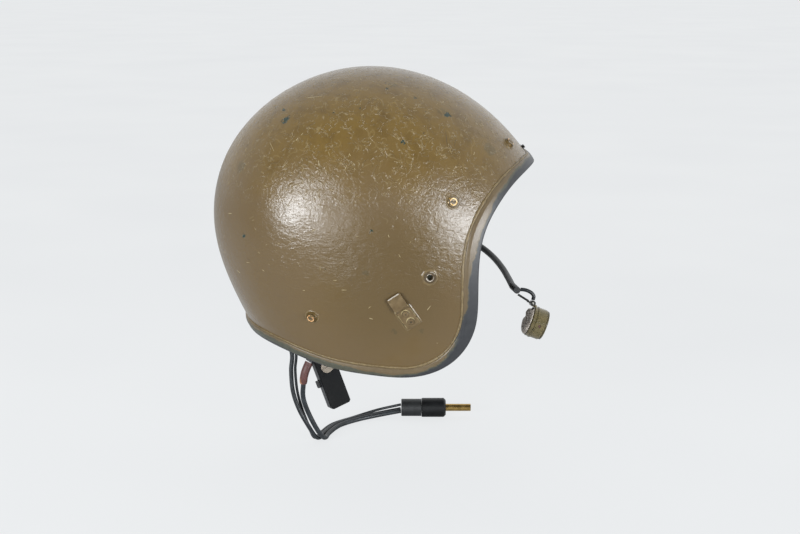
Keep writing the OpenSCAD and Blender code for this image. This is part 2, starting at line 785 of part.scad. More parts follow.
// Chin strap halves, stowed up inside the cheeks
module anchor() {
  seat(side_at(anchor_place)) children();
}
strap_top = -wall - 4.8;
module strap_anchors() {
  color([0.5, 0.5, 0.48]) both() anchor() {
    rod(7, -wall - 2, -wall - 0.6);
    rod(1.6, strap_top - 4, -wall - 1.5);
    rod(4, strap_top - 3.6, strap_top - 2.3);
  }
}
function strap_fall(s) = -s * s / 210;
module strap(long) {
  steps = [for (i = [0:10]) -9 + (long + 9) * i / 10];
  low = [for (s = steps) [s, strap_top - strap_thick + strap_fall(s)]];
  high = [for (i = [10:-1:0]) [steps[i], strap_top + strap_fall(steps[i])]];
  difference() {
    rotate([90, 0, 90]) translate([0, 0, -strap_wide / 2])
      linear_extrude(strap_wide) polygon(concat(low, high));
    rod(1.6 + run, strap_top - 4, strap_top + 4);
  }
}
module chin_strap_right() {
  color([0.12, 0.13, 0.09]) anchor() rotate([0, 0, strap_lean]) strap(strap_long);
}
module chin_strap_left() {
  color([0.12, 0.13, 0.09]) left() anchor() rotate([0, 0, strap_lean]) strap(strap_short);
}
module strap_buckle() {
  color([0.2, 0.2, 0.18]) left() anchor()
    rotate([0, 0, strap_lean])
    translate([0, strap_short + 0.6, strap_top + strap_fall(strap_short) - 1.2])
      rotate([-19, 0, 0]) difference() {
        translate([-strap_wide / 2 - 3, 0, -1]) cube([strap_wide + 6, 14, 2]);
        translate([-strap_wide / 2 - 0.5, 2.5, -3]) cube([strap_wide + 1, 3.6, 6]);
        translate([-strap_wide / 2 - 0.5, 8.2, -3]) cube([strap_wide + 1, 3.6, 6]);
      }
}
snap_at = strap_long - 8;
module strap_snap() {
  color([0.2, 0.2, 0.18]) anchor()
    rotate([0, 0, strap_lean])
    translate([0, snap_at, strap_top - strap_thick + strap_fall(snap_at) - 0.7])
      rotate([-34, 0, 0]) {
      rod(6, -2.2, -0.2);
      rod(3, -3.4, -2);
    }
}

// Terminal block at the nape, its bracket and the box below
module nape() {
  seat(surf([cos(block_turn), 0, sin(block_turn)], 0)) children();
}
module nape_block() {
  color([0.06, 0.06, 0.06]) nape() difference() {
    block(block_high, block_wide, -wall - 12, -wall - 1.8);
    block(block_high + 2, 3, -wall - 13, -wall - 11);
  }
}
module box_bracket() {
  t = 1.6;
  w = 9;
  q = surf([cos(block_turn), 0, sin(block_turn)], 0);
  n = out(q);
  down = cross(unit(cross(n, [1, 0, 0])), n);
  top = q + down * (block_high / 2 + 0.45) - n * (wall + 7) - [0, 7.5, 0];
  bend = top + down * 11.7 + [0.2, 0.5, 0];
  foot = box_at + unit(box_z) * (box_long / 2 + 0.45) + [-1, -0.4, 0.7];
  c = route(concat([top], [for (f = [0:0.25:1])
    bend + (foot - bend) * f - [2.6 * sin(180 * f), 0, 7 * sin(180 * f)]]), 2);
  last = len(c) - 1;
  rings = [for (i = [0:last])
    let(d = unit(c[min(i + 1, last)] - c[max(i - 1, 0)]),
      u = unit(cross(d, [0, 1, 0])), v = cross(d, u))
    [for (p = [[1, 1], [-1, 1], [-1, -1], [1, -1]])
      c[i] + p[0] * t / 2 * u + p[1] * w / 2 * v]];
  color([0.2, 0.2, 0.2]) skin(rings, c[0], c[last]);
}
module box() {
  axes(box_at, box_y, box_z) children();
}
module bevelled(x, y, low, high, c) {
  rotate([90, 0, 0]) translate([0, 0, -high]) linear_extrude(high - low)
    polygon([
      [-x / 2 + c, -y / 2], [x / 2 - c, -y / 2], [x / 2, -y / 2 + c],
      [x / 2, y / 2 - c], [x / 2 - c, y / 2], [-x / 2 + c, y / 2],
      [-x / 2, y / 2 - c], [-x / 2, -y / 2 + c]]);
}
cover_low = -box_thick / 2;
cover_top = cover_low + 2.2;
module gland() {
  translate([-box_wide / 2, 1.2, box_long / 2 - 3])
    rotate([0, -126.4, -7.1]) children();
}
module box_case() {
  w = box_wide;
  l = box_long;
  color([0.06, 0.06, 0.06]) box() difference() {
    union() {
      bevelled(w, l, cover_top + seat_gap, box_thick / 2, 1.6);
      gland() rod(3.9, -3, 2.6);
    }
    bevelled(w - 4, l - 4, cover_top - 1, box_thick / 2 - 1.8, 0.6);
    translate([-w / 2 - 3, -1, -4]) cube([6, 4, 7]);
  }
}
module box_cover() {
  w = box_wide;
  l = box_long;
  color([0.05, 0.05, 0.05]) box() difference() {
    bevelled(w - 0.6, l - 0.6, cover_low, cover_top, 1.6);
    translate([0, cover_low, l / 2 - 13.5]) rotate([90, 0, 0]) {
      rod(6.2, -1.2, 2);
      rod(2.1, -5, 2);
    }
  }
}
module box_disc() {
  color([0.34, 0.31, 0.26]) box() translate([0, cover_low, box_long / 2 - 13.5])
    rotate([90, 0, 0]) {
      slot_head(6, -0.9, 0.9, 1.6);
      rod(2, -4.4, -0.8);
    }
}
module box_switch() {
  color([0.3, 0.3, 0.3]) box()
    translate([-box_wide / 2 + 4.6 + button_travel, -1.6, -5])
      cube([6, box_thick / 2 - 0.4, 9]);
}
module talk_button() {
  color([0.05, 0.05, 0.05]) box() {
    translate([-box_wide / 2 - 3.4, -0.7, -3.7]) cube([7.4, 3.4, 6.4]);
    translate([-box_wide / 2 + 2.4, -1.9, -4.9]) cube([1.6, 5, 8.8]);
  }
}

// Leads and their shared plug
module lead_headset() {
  color([0.04, 0.04, 0.05]) tube(lead_route, lead_r, 8, 2, [1, -1, 0]);
}
module lead_thin() {
  color([0.04, 0.04, 0.05]) tube(thin_route, thin_r, 8, 2, [1, -1, 0]);
}
module lead_tail() {
  color([0.04, 0.04, 0.05]) tube(tail_route, tail_r, 8, 2, [1, -1, 0]);
}
module lead_sleeve() {
  color([0.24, 0.09, 0.06]) tube(sleeve_route, 3.8, 10, 2, [0, 1, 0]);
}
module plug() {
  translate([plug_x, plug_y, plug_z]) rotate([0, 90, 0]) children();
}
module plug_boot() {
  color([0.05, 0.05, 0.05]) plug()
    rotate_extrude()
      polygon([
        [0, 0], [plug_r - 1.4, 0], [plug_r - 0.9, 0.6],
        [plug_r - 0.9, boot_long], [0, boot_long]]);
}
module plug_handle() {
  a = boot_long + seat_gap;
  b = a + handle_long;
  color([0.07, 0.07, 0.07]) plug() difference() {
    rotate_extrude()
      polygon([
        [0, a], [plug_r - 0.6, a], [plug_r, a + 0.6], [plug_r, b - 2],
        [plug_r - 2, b], [0, b]]);
    rod(barrel_r + 2, a + 2, b + 1);
  }
}
module plug_barrel() {
  a = boot_long + seat_gap + 2.4;
  b = boot_long + seat_gap + handle_long;
  color([0.7, 0.62, 0.4]) plug() {
    rod(barrel_r + 1.9, a, b);
    rod(barrel_r, b - 1, b + barrel_long);
  }
}

shell();
edge_trim();
liner();
crown_pad();
brow_pad();
back_pad();
side_pads();
liner_screws();
cup_washers();
screw_nuts();
brow_stud();
eyelet_right();
eyelet_left();
lead_clip_right();
lead_clip_left();
clip_rivets();
cup_hanger_right();
cup_hanger_left();
ear_cup_right();
ear_cup_left();
ear_seal_right();
ear_seal_left();
earphone_right();
earphone_left();
earphone_foam_right();
earphone_foam_left();
boom_screw();
boom_washer();
boom_hub();
boom_arm();
boom_knob();
boom_tip();
mic_yoke();
mic_pin();
mic_lead();
mic_case();
mic_front();
mic_element();
mic_back();
mic_screw();
strap_anchors();
chin_strap_right();
chin_strap_left();
strap_buckle();
strap_snap();
nape_block();
box_bracket();
box_case();
box_cover();
box_disc();
box_switch();
talk_button();
lead_headset();
lead_thin();
lead_tail();
lead_sleeve();
plug_boot();
plug_handle();
plug_barrel();
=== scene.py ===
"""Tank crew helmet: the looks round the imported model.

+X is forward, +Y the wearer's left and +Z up. The origin is between the two ear cups.
Shapes are worked out in millimetres and turned to metres when a mesh is made.
"""
import math
import random

import bmesh
import bpy
import numpy as np
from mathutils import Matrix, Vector, noise


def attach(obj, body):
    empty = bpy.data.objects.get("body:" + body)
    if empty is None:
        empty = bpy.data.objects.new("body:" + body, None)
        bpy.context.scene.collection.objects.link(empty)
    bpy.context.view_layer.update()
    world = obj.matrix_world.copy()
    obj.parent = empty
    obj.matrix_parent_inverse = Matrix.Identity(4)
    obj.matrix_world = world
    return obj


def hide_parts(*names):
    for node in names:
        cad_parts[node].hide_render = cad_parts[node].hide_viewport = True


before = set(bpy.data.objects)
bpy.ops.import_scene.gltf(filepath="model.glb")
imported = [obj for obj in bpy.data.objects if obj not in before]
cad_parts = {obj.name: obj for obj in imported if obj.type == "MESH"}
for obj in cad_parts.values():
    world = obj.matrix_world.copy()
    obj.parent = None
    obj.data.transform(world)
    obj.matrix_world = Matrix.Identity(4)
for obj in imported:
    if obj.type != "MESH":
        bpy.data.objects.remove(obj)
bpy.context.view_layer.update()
scene = bpy.context.scene
MM = 0.001

# ---------------------------------------------------------------- camera
VIEW_DIP = 13.5
camera = bpy.data.objects.new("camera", bpy.data.cameras.new("camera"))
camera.data.lens = 55
camera.data.sensor_width = 36
camera.location = (0.005, -1.0696, 0.2318)
camera.rotation_euler = (math.radians(90 - VIEW_DIP), 0, 0)
scene.collection.objects.link(camera)
scene.camera = camera


# ---------------------------------------------------------------- shader helpers
def linear(shade):
    """A colour from its sRGB hex value."""
    parts = [int(shade[i:i + 2], 16) / 255 for i in (1, 3, 5)]
    return [c / 12.92 if c <= 0.04045 else ((c + 0.055) / 1.055) ** 2.4
            for c in parts] + [1.0]


def per(size):
    """Pattern scale for a feature of that many millimetres."""
    return 1000 / size


# A mix of colours, and the output it gives them at
RGBA = {"data_type": "RGBA", "take": 2}


def add(tree, kind, sockets=None, take=0, **settings):
    """Adds a shader node with its settings and links, and gives the output taken."""
    node = tree.nodes.new("ShaderNode" + kind)
    for key, value in settings.items():
        setattr(node, key, value)
    for key, value in (sockets or {}).items():
        if isinstance(value, bpy.types.NodeSocket):
            tree.links.new(value, node.inputs[key])
        else:
            node.inputs[key].default_value = value
    return node.outputs[take]


def new_finish(name, **sockets):
    """A material with its shader's sockets set, and the place in the part's frame."""
    material = bpy.data.materials.new(name)
    material.use_nodes = True
    tree = material.node_tree
    shader = tree.nodes["Principled BSDF"]
    for key, value in sockets.items():
        shader.inputs[key.replace("_", " ")].default_value = value
    place = add(tree, "TexCoord", take="Object")
    return material, tree, shader, place


def dress(tree, shader, colour=None, roughness=None, height=None, depth=0.1):
    """Links colour, roughness and a bump of that depth in millimetres to the shader."""
    if colour is not None:
        tree.links.new(colour, shader.inputs["Base Color"])
    if roughness is not None:
        tree.links.new(roughness, shader.inputs["Roughness"])
    if height is not None:
        normal = add(tree, "Bump", {"Height": height, "Strength": 1.0,
                                    "Distance": depth * MM})
        tree.links.new(normal, shader.inputs["Normal"])


# ---------------------------------------------------------------- finishes
# Chips in the paint: place in mm on the shell and radius
CHIPS = [
    (-91, -57, 122, 1.9), (-99, -44, 123, 1.2), (-88, -69, 115, 3.2), (-49, -81, 122, 1.2),
    (-5, -60, 140, 1.5), (-7, -52, 144, 1.0), (17, -64, 133, 1.4), (44, -67, 119, 3.0),
    (8, -98, 101, 1.5), (-27, -80, 127, 0.9), (-123, -89, 23, 1.6), (-18, -119, 32, 1.2),
    (-55, -117, 1, 0.9), (-112, -43, 114, 0.9), (98, -38, 95, 1.2), (-70, 70, 122, 2.4),
    (20, 88, 112, 1.8), (-120, 60, 60, 2.2), (-20, 118, 30, 1.6), (60, 92, 70, 1.5),
    (-10, 20, 152, 1.8), (-100, 92, -12, 1.5), (-148, 20, 50, 2.0)]
# Patches where the older green coat shows faintly through
THIN_SPOTS = [
    (-1, -54, 142, 4.0), (40, -67, 121, 4.5), (79, -69, 91, 6.0), (-22, -119, -2, 2.6),
    (1, -113, -52, 2.2), (23, -111, -52, 2.0), (-126, -70, 77, 5.0),
    (-60, 100, 70, 6.0), (30, 60, 125, 5.0)]


# How far noise moves a place, in metres
SWAY = 0.008


def swayed(tree, place, size, detail, by=SWAY):
    """The place pushed about by noise, so that what follows it runs unevenly."""
    sway = add(tree, "TexNoise", {"Vector": place, "Scale": per(size), "Detail": detail},
               take=1)
    return add(tree, "VectorMath", {0: sway, 1: (by,) * 3, 2: place},
               operation="MULTIPLY_ADD")


def off_middle(tree, field):
    """How far a noise is from its middle value, which it takes along curling lines."""
    off = add(tree, "Math", {0: field, 1: 0.5}, operation="SUBTRACT")
    return add(tree, "Math", {0: off}, operation="ABSOLUTE")


def enamel_colour(tree, place, warped, up, cloud, low, high):
    """Olive, browner on the crown and in stains, with painted shade low in the middle of each
    side.
    """
    crown = add(tree, "MapRange", {0: up, 1: 0.05, 2: 0.14})
    tone = add(tree, "Math", {0: cloud, 1: 0.9, 2: crown}, operation="MULTIPLY_ADD")
    tone = add(tree, "MapRange", {0: tone, 1: 0.35, 2: 1.2}, interpolation_type="SMOOTHSTEP")
    colour = add(tree, "Mix", {0: tone, 6: linear(low), 7: linear(high)}, **RGBA)
    # Painted shade low in the middle of each side: both sides are one place, with y taken as
    # positive
    folded = add(tree, "VectorMath", {0: place}, operation="ABSOLUTE")
    held = add(tree, "CombineXYZ", {0: add(tree, "SeparateXYZ", {0: place}, take=0),
                                    1: add(tree, "SeparateXYZ", {0: folded}, take=1),
                                    2: up})
    far = add(tree, "VectorMath", {0: held, 1: (-0.004, 0.118, -0.014)}, take="Value",
              operation="DISTANCE")
    # How much painted shade: 0.55 at the middle of each side, none from 85 mm away
    held = add(tree, "MapRange", {0: far, 1: 0.025, 2: 0.085, 3: 0.55, 4: 0.0},
               interpolation_type="SMOOTHSTEP")
    colour = add(tree, "Mix", {0: held, 6: colour, 7: linear("#57472A")}, **RGBA)
    stain = add(tree, "TexNoise", {"Vector": warped, "Scale": per(13), "Detail": 4.0})
    stain = add(tree, "MapRange", {0: stain, 1: 0.46, 2: 0.76})
    stain = add(tree, "Math", {0: stain, 1: tone}, operation="MULTIPLY")
    return add(tree, "Mix", {0: stain, 6: colour, 7: linear("#5C471F")}, **RGBA)


def curled_fibres(tree, place, warped, up):
    """Curled glass fibres that tell through the paint over most of the crown."""
    curl = add(tree, "TexNoise", {"Vector": warped, "Scale": per(6), "Detail": 1.0})
    curl = add(tree, "MapRange", {0: off_middle(tree, curl), 1: 0.008, 2: 0.03, 3: 1.0,
                                  4: 0.0})
    broken = add(tree, "TexNoise", {"Vector": place, "Scale": per(9), "Detail": 1.0})
    broken = add(tree, "MapRange", {0: broken, 1: 0.43, 2: 0.5})
    crown = add(tree, "MapRange", {0: up, 1: 0.045, 2: 0.085})
    for kept in (broken, crown):
        curl = add(tree, "Math", {0: curl, 1: kept}, operation="MULTIPLY")
    return curl


def brush_wrinkles(tree, warped, up):
    """Pebbly 3 mm wrinkles on the crown, combed level below it and fading low down."""
    combed = add(tree, "VectorMath", {0: warped, 1: (0.3, 0.6, 1.0)}, operation="MULTIPLY")
    pebble, comb = (add(tree, "TexNoise", {"Vector": at, "Scale": per(size), "Detail": 4.0,
                                           "Roughness": 0.6})
                    for at, size in ((warped, 2.6), (combed, 2.3)))
    low = add(tree, "MapRange", {0: up, 1: 0.06, 2: 0.02})
    crease = add(tree, "Mix", {0: low, 2: pebble, 3: comb}, data_type="FLOAT")
    fold = add(tree, "TexNoise", {"Vector": warped, "Scale": per(7), "Detail": 2.0})
    height = add(tree, "Math", {0: off_middle(tree, fold), 1: -0.8, 2: crease},
                 operation="MULTIPLY_ADD")
    deep = add(tree, "MapRange", {0: up, 1: -0.05, 2: -0.005, 3: 0.35, 4: 1.3})
    return add(tree, "Math", {0: height, 1: deep}, operation="MULTIPLY")


def in_spots(tree, place, spots):
    """1 where the swayed place is inside one of the spots and 0 elsewhere."""
    share = None
    for x, y, z, r in spots:
        # Noise is 0.5 on average, so it moves every place by half the sway
        at = tuple(v * MM + SWAY / 2 for v in (x, y, z))
        far = add(tree, "VectorMath", {0: place, 1: at}, take="Value",
                  operation="DISTANCE")
        one = add(tree, "MapRange", {0: far, 1: (r - 0.4) * MM, 2: (r + 0.3) * MM,
                                     3: 1.0, 4: 0.0})
        share = one if share is None else add(tree, "Math", {0: share, 1: one},
                                              operation="MAXIMUM")
    return share


def brushed_enamel(name="brushed_enamel", low="#665438", high="#6D5626", worn=True):
    """Olive enamel brushed over glass fibre: wrinkled semi-gloss, with an older
    blue-green coat where it has chipped."""
    material, tree, shader, place = new_finish(name, IOR=1.56)
    warped = swayed(tree, place, 7, 3.0)
    up = add(tree, "SeparateXYZ", {0: place}, take=2)
    cloud = add(tree, "TexNoise", {"Vector": place, "Scale": per(45), "Detail": 3.0})
    colour = enamel_colour(tree, place, warped, up, cloud, low, high)
    curl = curled_fibres(tree, place, warped, up)
    seen_fibre = add(tree, "Math", {0: curl, 1: 0.75}, operation="MULTIPLY")
    colour = add(tree, "Mix", {0: seen_fibre, 6: colour, 7: linear("#857249")}, **RGBA)
    height = brush_wrinkles(tree, warped, up)
    height = add(tree, "Math", {0: curl, 1: 1.0, 2: height}, operation="MULTIPLY_ADD")
    body = add(tree, "TexNoise", {"Vector": place, "Scale": per(24), "Detail": 2.0})
    height = add(tree, "Math", {0: body, 1: 1.8, 2: height}, operation="MULTIPLY_ADD")
    if worn:
        ragged = swayed(tree, place, 2.6, 2.0)
        for spots, seen in ((THIN_SPOTS, 0.22), (CHIPS, 1.0)):
            chip = in_spots(tree, ragged, spots)
            mixed = add(tree, "Math", {0: chip, 1: seen}, operation="MULTIPLY")
            colour = add(tree, "Mix", {0: mixed, 6: colour, 7: linear("#1F3227")}, **RGBA)
        height = add(tree, "Math", {0: chip, 1: -0.8, 2: height}, operation="MULTIPLY_ADD")
    rough = add(tree, "MapRange", {0: cloud, 3: 0.2, 4: 0.28})
    dress(tree, shader, colour, rough, height, depth=0.3)
    return material


def oversprayed_rubber():
    """Black moulded rubber. Olive paint runs over its upper edge, then thins out to a
    greenish film. The attributes overspray and film are above 0 where each reached."""
    material, tree, shader, place = new_finish("oversprayed_rubber", IOR=1.5)
    wear = add(tree, "TexNoise", {"Vector": place, "Scale": per(15), "Detail": 6.0,
                                  "Roughness": 0.68})
    thin = add(tree, "TexNoise", {"Vector": place, "Scale": per(5), "Detail": 3.0})
    colour = add(tree, "Mix", {0: thin, 6: linear("#25272A"), 7: linear("#3B3C3F")}, **RGBA)
    # Noise and the attribute add up to less than this where the coat has gone
    gone_below = 0.46
    for brushed, dark, light, soft in (("film", "#3C3D31", "#56564A", 0.1),
                                       ("overspray", "#584A34", "#6E5F47", 0.04)):
        reached = add(tree, "Attribute", take="Fac", attribute_name=brushed)
        edge = add(tree, "Math", {0: wear, 1: 0.9, 2: reached}, operation="MULTIPLY_ADD")
        share = add(tree, "MapRange", {0: edge, 1: gone_below - soft, 2: gone_below + soft},
                    interpolation_type="SMOOTHSTEP")
        coat = add(tree, "Mix", {0: thin, 6: linear(dark), 7: linear(light)}, **RGBA)
        colour = add(tree, "Mix", {0: share, 6: colour, 7: coat}, **RGBA)
    rough = add(tree, "MapRange", {0: share, 3: 0.46, 4: 0.36})
    grain = add(tree, "TexNoise", {"Vector": place, "Scale": per(2.4), "Detail": 3.0})
    height = add(tree, "Math", {0: share, 1: 0.9, 2: grain}, operation="MULTIPLY_ADD")
    dress(tree, shader, colour, rough, height, depth=0.07)
    return material


def plain_enamel(name, low, high, rough=0.36, wrinkle=0.06, size=4.0):
    """Enamel or lacquer on small metal parts, flowed smoother than on the shell."""
    material, tree, shader, place = new_finish(name, IOR=1.5)
    cloud = add(tree, "TexNoise", {"Vector": place, "Scale": per(size), "Detail": 4.0})
    spread = add(tree, "MapRange", {0: cloud, 1: 0.35, 2: 0.65})
    colour = add(tree, "Mix", {0: spread, 6: linear(low), 7: linear(high)}, **RGBA)
    gloss = add(tree, "MapRange", {0: cloud, 3: rough - 0.06, 4: rough + 0.06})
    dress(tree, shader, colour, gloss, cloud, depth=wrinkle)
    return material


def painted_brass(name, metal, dark, paint, cover, size=2.6):
    """Brass worn bare on its edges, with olive paint left; cover is the painted share."""
    material, tree, shader, place = new_finish(name)
    patch = add(tree, "TexNoise", {"Vector": place, "Scale": per(size), "Detail": 3.0})
    mask = add(tree, "MapRange", {0: patch, 1: 0.66 - 0.4 * cover, 2: 0.72 - 0.4 * cover})
    tarnish = add(tree, "TexNoise", {"Vector": place, "Scale": per(1.1), "Detail": 2.0})
    bright = add(tree, "Mix", {0: tarnish, 6: linear(metal), 7: linear(dark)}, **RGBA)
    colour = add(tree, "Mix", {0: mask, 6: bright, 7: linear(paint)}, **RGBA)
    bare = add(tree, "Math", {0: 1.0, 1: mask}, operation="SUBTRACT")
    tree.links.new(bare, shader.inputs["Metallic"])
    rough = add(tree, "MapRange", {0: mask, 3: 0.28, 4: 0.36})
    dress(tree, shader, colour, rough, patch, depth=0.05)
    return material


def dull_metal(name, shade, dark, rough=0.42):
    """Cast or turned metal gone dull: fine grain and uneven tarnish."""
    material, tree, shader, place = new_finish(name, Metallic=1.0)
    patch = add(tree, "TexNoise", {"Vector": place, "Scale": per(5), "Detail": 4.0})
    colour = add(tree, "Mix", {0: patch, 6: linear(dark), 7: linear(shade)}, **RGBA)
    fine = add(tree, "TexNoise", {"Vector": place, "Scale": per(0.8), "Detail": 2.0})
    gloss = add(tree, "MapRange", {0: patch, 3: rough - 0.1, 4: rough + 0.12})
    dress(tree, shader, colour, gloss, fine, depth=0.03)
    return material


def moulded(name, dark, light, rough=0.42, grain=0.9, depth=0.04, scuffs=0.5, ior=1.5):
    """Moulded plastic or rubber: a fine grain from the mould and pale rubbed scuffs."""
    material, tree, shader, place = new_finish(name, IOR=ior)
    fine = add(tree, "TexNoise", {"Vector": place, "Scale": per(grain), "Detail": 2.0})
    patch = add(tree, "TexNoise", {"Vector": place, "Scale": per(12), "Detail": 5.0,
                                   "Roughness": 0.65})
    rubbed = add(tree, "MapRange", {0: patch, 1: 0.45, 2: 0.75, 3: 0.0, 4: scuffs})
    colour = add(tree, "Mix", {0: rubbed, 6: linear(dark), 7: linear(light)}, **RGBA)
    gloss = add(tree, "MapRange", {0: patch, 3: rough - 0.08, 4: rough + 0.12})
    dress(tree, shader, colour, gloss, fine, depth=depth)
    return material


def open_foam(name, dark, light, cell):
    """Cut foam: open cells, matt."""
    material, tree, shader, place = new_finish(name, IOR=1.4)
    cells = add(tree, "TexVoronoi", {"Vector": place, "Scale": per(cell)}, feature="F1")
    cloud = add(tree, "TexNoise", {"Vector": place, "Scale": per(20), "Detail": 3.0})
    mix = add(tree, "Math", {0: cells, 1: cloud}, operation="MULTIPLY")
    colour = add(tree, "Mix", {0: mix, 6: linear(dark), 7: linear(light)}, **RGBA)
    rough = add(tree, "MapRange", {0: cloud, 3: 0.85, 4: 0.97})
    dress(tree, shader, colour, rough, cells, depth=0.25)
    return material


def grained_leather(name, dark, light, rough):
    """Leather or leather-grained vinyl: pebbled cells with creases, rubbed lighter."""
    material, tree, shader, place = new_finish(name, IOR=1.45)
    pebble = add(tree, "TexVoronoi", {"Vector": place, "Scale": per(1.3)},
                 feature="DISTANCE_TO_EDGE")
    pebble = add(tree, "MapRange", {0: pebble, 1: 0.0, 2: 0.22})
    fold = add(tree, "TexNoise", {"Vector": place, "Scale": per(11), "Detail": 4.0,
                                  "Distortion": 0.5})
    worn = add(tree, "MapRange", {0: fold, 1: 0.4, 2: 0.75})
    colour = add(tree, "Mix", {0: worn, 6: linear(dark), 7: linear(light)}, **RGBA)
    gloss = add(tree, "MapRange", {0: fold, 3: rough - 0.1, 4: rough + 0.12})
    height = add(tree, "Math", {0: fold, 1: 2.2, 2: pebble}, operation="MULTIPLY_ADD")
    dress(tree, shader, colour, gloss, height, depth=0.09)
    return material


def creased_cover_with_painted_light():
    """Thin grey rubberised cloth stretched over the microphone's mouth: sharp creases,
    darker along them and paler between. Its colours are paler than the cloth itself:
    painted bounce light."""
    material, tree, shader, place = new_finish("creased_cover_with_painted_light", IOR=1.45)
    warped = swayed(tree, place, 6, 2.0, 0.005)
    crease = add(tree, "TexVoronoi", {"Vector": warped, "Scale": per(5)},
                 feature="DISTANCE_TO_EDGE")
    fold = add(tree, "MapRange", {0: crease, 1: 0.0, 2: 0.35})
    # Both colours paler than the grey cloth itself, as painted bounce light
    colour = add(tree, "Mix", {0: fold, 6: linear("#B0A599"), 7: linear("#DCD2C6")}, **RGBA)
    rough = add(tree, "MapRange", {0: fold, 3: 0.6, 4: 0.42})
    dress(tree, shader, colour, rough, fold, depth=0.35)
    return material


def shrunk_sleeve():
    """Red-brown sleeve shrunk on the lead, its lower end rubbed to orange and frayed."""
    material, tree, shader, place = new_finish("shrunk_sleeve", IOR=1.48)
    grain = add(tree, "TexNoise", {"Vector": place, "Scale": per(2.5), "Detail": 4.0})
    colour = add(tree, "Mix", {0: grain, 6: linear("#3E221F"), 7: linear("#6A443F")}, **RGBA)
    across = add(tree, "SeparateXYZ", {0: place}, take=0)
    up = add(tree, "SeparateXYZ", {0: place}, take=2)
    rubbed = add(tree, "MapRange", {0: up, 1: -0.122, 2: -0.133})
    outside = add(tree, "MapRange", {0: across, 1: -0.0825, 2: -0.0865})
    rubbed = add(tree, "Math", {0: rubbed, 1: outside}, operation="MULTIPLY")
    rubbed = add(tree, "Math", {0: grain, 1: rubbed}, operation="MULTIPLY")
    rubbed = add(tree, "MapRange", {0: rubbed, 1: 0.22, 2: 0.5})
    colour = add(tree, "Mix", {0: rubbed, 6: colour, 7: linear("#A87650")}, **RGBA)
    rough = add(tree, "MapRange", {0: grain, 3: 0.42, 4: 0.6})
    dress(tree, shader, colour, rough, grain, depth=0.12)
    return material


def woven_webbing():
    """Olive-drab cotton webbing: ribs across it 1.1 mm apart, herringbone along it."""
    material, tree, shader, place = new_finish("woven_webbing", IOR=1.4,
                                               Sheen_Weight=0.3)
    cloth = add(tree, "UVMap", uv_map="webbing")
    along = add(tree, "SeparateXYZ", {0: cloth}, take=0)
    across = add(tree, "SeparateXYZ", {0: cloth}, take=1)
    zig = add(tree, "Math", {0: across, 1: 2.0}, operation="PINGPONG")
    slant = add(tree, "Math", {0: along, 1: zig}, operation="ADD")
    rib = add(tree, "Math", {0: slant, 1: 2 * math.pi / 1.1}, operation="MULTIPLY")
    rib = add(tree, "Math", {0: rib}, operation="SINE")
    yarn = add(tree, "TexNoise", {"Vector": place, "Scale": per(0.7), "Detail": 2.0})
    height = add(tree, "Math", {0: rib, 1: 0.5, 2: yarn}, operation="MULTIPLY_ADD")
    dust = add(tree, "TexNoise", {"Vector": place, "Scale": per(14), "Detail": 4.0})
    mix = add(tree, "Math", {0: height, 1: dust}, operation="MULTIPLY")
    colour = add(tree, "Mix", {0: mix, 6: linear("#2B2C20"), 7: linear("#5A583F")}, **RGBA)
    rough = add(tree, "MapRange", {0: dust, 3: 0.8, 4: 0.95})
    dress(tree, shader, colour, rough, height, depth=0.18)
    return material


ENAMEL = brushed_enamel()
RIDGE = brushed_enamel("enamel_over_fibres", "#6F5E40", "#786234", worn=False)
TRIM = oversprayed_rubber()
BEAD = plain_enamel("paint_bead", "#6A5A3C", "#7F6E4D", rough=0.46, wrinkle=0.3, size=2.2)
POOL = plain_enamel("pooled_enamel", "#68573A", "#756342", rough=0.3, wrinkle=0.05, size=6.0)
# Bare glass fibre in scratches; on the clip the same pale colour is a painted highlight
BARE_FIBRE_AND_HIGHLIGHT = plain_enamel("bare_fibre_and_painted_highlight", "#8A7A52", "#B3A47C", rough=0.6)
# Dirt in scratches; over screw slots and in rivet hollows the same dark colour is painted
# shade
DIRT_AND_SHADE = plain_enamel("dirt_and_painted_shade", "#33291A", "#4A3D26", rough=0.7)
CLIP = plain_enamel("clip_enamel", "#5F4E33", "#6F5D40", rough=0.34, wrinkle=0.12)
MIC = plain_enamel("microphone_enamel", "#655C3D", "#796D4D", rough=0.17, wrinkle=0.02)
MIC_BACK = plain_enamel("microphone_back_enamel", "#4B4327", "#5A5034", rough=0.28)
HEAD = painted_brass("painted_screw_brass", "#A8874C", "#6E5528", "#685638", cover=0.95)
CUP_BRASS = painted_brass("painted_cup_brass", "#B08A48", "#6E5020", "#5F4C26", cover=0.85)
# Brass worn bare on the front screws, as a pale colour that is not metal: real wear,
# brightened into a painted glint
BRASS_WEAR_AND_GLINT = plain_enamel("worn_brass_painted_glint", "#D9A85C", "#FFEFC4", rough=0.22, size=1.6)
ORANGE_BRASS = plain_enamel("tarnished_brass", "#C98A4E", "#E6C092", rough=0.28, size=1.8)
EYELET = painted_brass("eyelet_brass", "#B6A88E", "#6F6350", "#544630", cover=0.85, size=3.2)
WORN_ALLOY = plain_enamel("worn_alloy", "#8E867B", "#CFC6B8", rough=0.25, size=1.6)
STEEL = dull_metal("zinc_steel", "#9C9A94", "#6E6C67")
DARK_STEEL = dull_metal("blackened_steel", "#3A3A38", "#1C1C1B", rough=0.5)
DISC = dull_metal("slotted_disc_alloy", "#7D756A", "#4B453E", rough=0.5)
BARREL = dull_metal("plug_brass", "#C4A566", "#8E743F", rough=0.25)
BLACK_PLASTIC = moulded("black_phenolic", "#060708", "#131517", rough=0.42, ior=1.36)
CASE_PLASTIC = moulded("box_case_phenolic", "#2A2B2D", "#46484B", rough=0.42)
COVER_PLASTIC = moulded("box_cover_phenolic", "#060708", "#101215", rough=0.66, ior=1.26)
